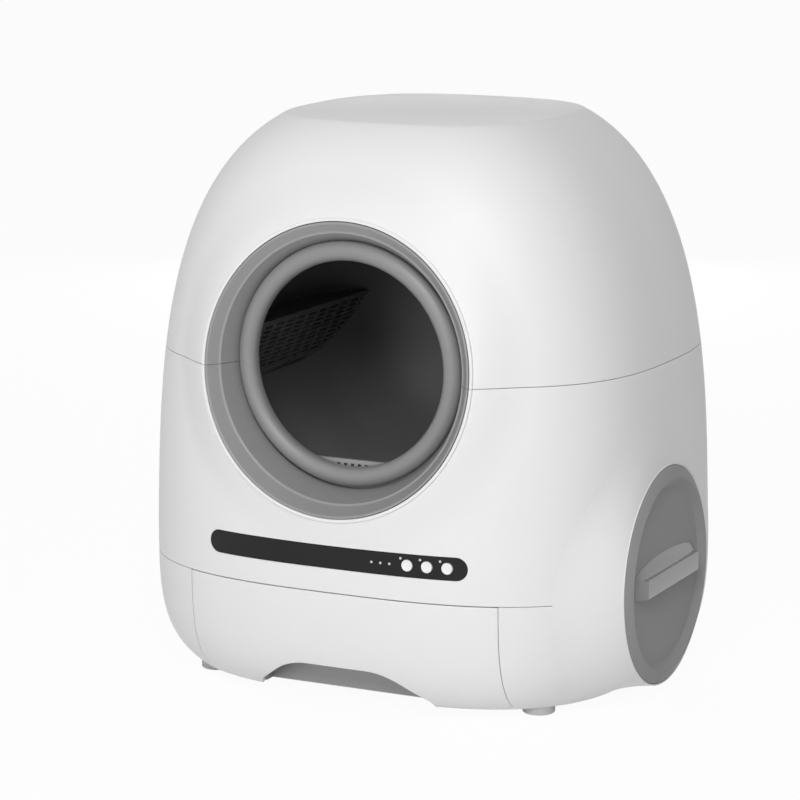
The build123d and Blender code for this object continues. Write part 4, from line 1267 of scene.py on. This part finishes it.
def seen_directly(tree):
    """1 where the camera, a reflection or a see-through piece looks at the surface."""
    path = tree.nodes.new("ShaderNodeLightPath")
    first = tree.nodes.new("ShaderNodeMath")
    first.operation = "MAXIMUM"
    second = tree.nodes.new("ShaderNodeMath")
    second.operation = "MAXIMUM"
    tree.links.new(path.outputs["Is Camera Ray"], first.inputs[0])
    tree.links.new(path.outputs["Is Glossy Ray"], first.inputs[1])
    tree.links.new(first.outputs[0], second.inputs[0])
    tree.links.new(path.outputs["Is Transmission Ray"], second.inputs[1])
    return second.outputs[0]


def floor_material():
    """Pale floor that reads as a white page and keeps a soft shadow."""
    material = bpy.data.materials.new("studio_floor")
    material.use_nodes = True
    tree = material.node_tree
    shader = tree.nodes["Principled BSDF"]
    socket(shader, "Base Color").default_value = (*finishes().floor, 1)
    socket(shader, "Roughness").default_value = FLOOR_ROUGH
    glow = tree.nodes.new("ShaderNodeEmission")
    socket(glow, "Color").default_value = WHITE
    share = tree.nodes.new("ShaderNodeMath")
    share.operation = "MULTIPLY"
    share.inputs[1].default_value = bpy.context.scene.litterbox_stage.glow
    mix = tree.nodes.new("ShaderNodeMixShader")
    tree.links.new(seen_directly(tree), share.inputs[0])
    tree.links.new(share.outputs[0], mix.inputs[0])
    tree.links.new(shader.outputs[0], mix.inputs[1])
    tree.links.new(glow.outputs[0], mix.inputs[2])
    tree.links.new(mix.outputs[0], tree.nodes["Material Output"].inputs["Surface"])
    return material


def light_world(strength):
    """Even soft light all round, on a white background."""
    world = bpy.data.worlds.new("studio")
    bpy.context.scene.world = world
    world.use_nodes = True
    tree = world.node_tree
    soft = tree.nodes["Background"]
    socket(soft, "Color").default_value = WHITE
    socket(soft, "Strength").default_value = strength
    page = tree.nodes.new("ShaderNodeBackground")
    socket(page, "Color").default_value = WHITE
    mix = tree.nodes.new("ShaderNodeMixShader")
    tree.links.new(seen_directly(tree), mix.inputs[0])
    tree.links.new(soft.outputs[0], mix.inputs[1])
    tree.links.new(page.outputs[0], mix.inputs[2])
    tree.links.new(mix.outputs[0], tree.nodes["World Output"].inputs["Surface"])


class LITTERBOX_OT_stage(bpy.types.Operator):
    """Set up the floor, the lights and the camera"""

    bl_idname = "litterbox.stage"
    bl_label = "Studio"

    def execute(self, context):
        settings = context.scene.litterbox_stage
        context.scene.view_settings.view_transform = "Standard"
        deselect()
        bpy.ops.mesh.primitive_plane_add(size=30)
        ground = named("studio_floor")
        ground.data.materials.append(floor_material())
        light_world(settings.world)
        for name, size, place in LIGHTS:
            area_light(f"{name}_light", getattr(settings, name), size, place)
        bpy.ops.object.camera_add(location=CAMERA_PLACE)
        camera = context.object
        camera.name = camera.data.name = "photo_camera"
        camera.data.lens = settings.lens
        camera.data.sensor_width = 36
        aim = Vector(CAMERA_AIM) - Vector(CAMERA_PLACE)
        camera.rotation_euler = aim.to_track_quat("-Z", "Y").to_euler()
        context.scene.camera = camera
        return {"FINISHED"}


class LITTERBOX_PT_panel(bpy.types.Panel):
    """Sidebar list of the modelling steps"""

    bl_idname = "LITTERBOX_PT_panel"
    bl_label = "Litter Box"
    bl_space_type = "VIEW_3D"
    bl_region_type = "UI"
    bl_category = "Litter Box"

    def draw(self, context):
        for operator in OPERATORS:
            self.layout.operator(operator.bl_idname)


OPERATORS = (
    LITTERBOX_OT_finishes, LITTERBOX_OT_entrance, LITTERBOX_OT_shells, LITTERBOX_OT_port, LITTERBOX_OT_drum,
    LITTERBOX_OT_drawer, LITTERBOX_OT_cap, LITTERBOX_OT_buttons, LITTERBOX_OT_stage,
)


def register():
    for name, group in PROPERTY_GROUPS.items():
        bpy.utils.register_class(group)
        setattr(bpy.types.Scene, name, PointerProperty(type=group))
    for operator in OPERATORS:
        bpy.utils.register_class(operator)
    bpy.utils.register_class(LITTERBOX_PT_panel)


def unregister():
    bpy.utils.unregister_class(LITTERBOX_PT_panel)
    for operator in reversed(OPERATORS):
        bpy.utils.unregister_class(operator)
    for name, group in PROPERTY_GROUPS.items():
        delattr(bpy.types.Scene, name)
        bpy.utils.unregister_class(group)


def main():
    register()
    bpy.ops.litterbox.finishes()
    bpy.ops.litterbox.entrance()
    bpy.ops.litterbox.shells()
    bpy.ops.litterbox.port()
    bpy.ops.litterbox.drum()
    bpy.ops.litterbox.drawer()
    bpy.ops.litterbox.cap()
    bpy.ops.litterbox.buttons()
    bpy.ops.litterbox.stage()


if __name__ == "__main__":
    main()
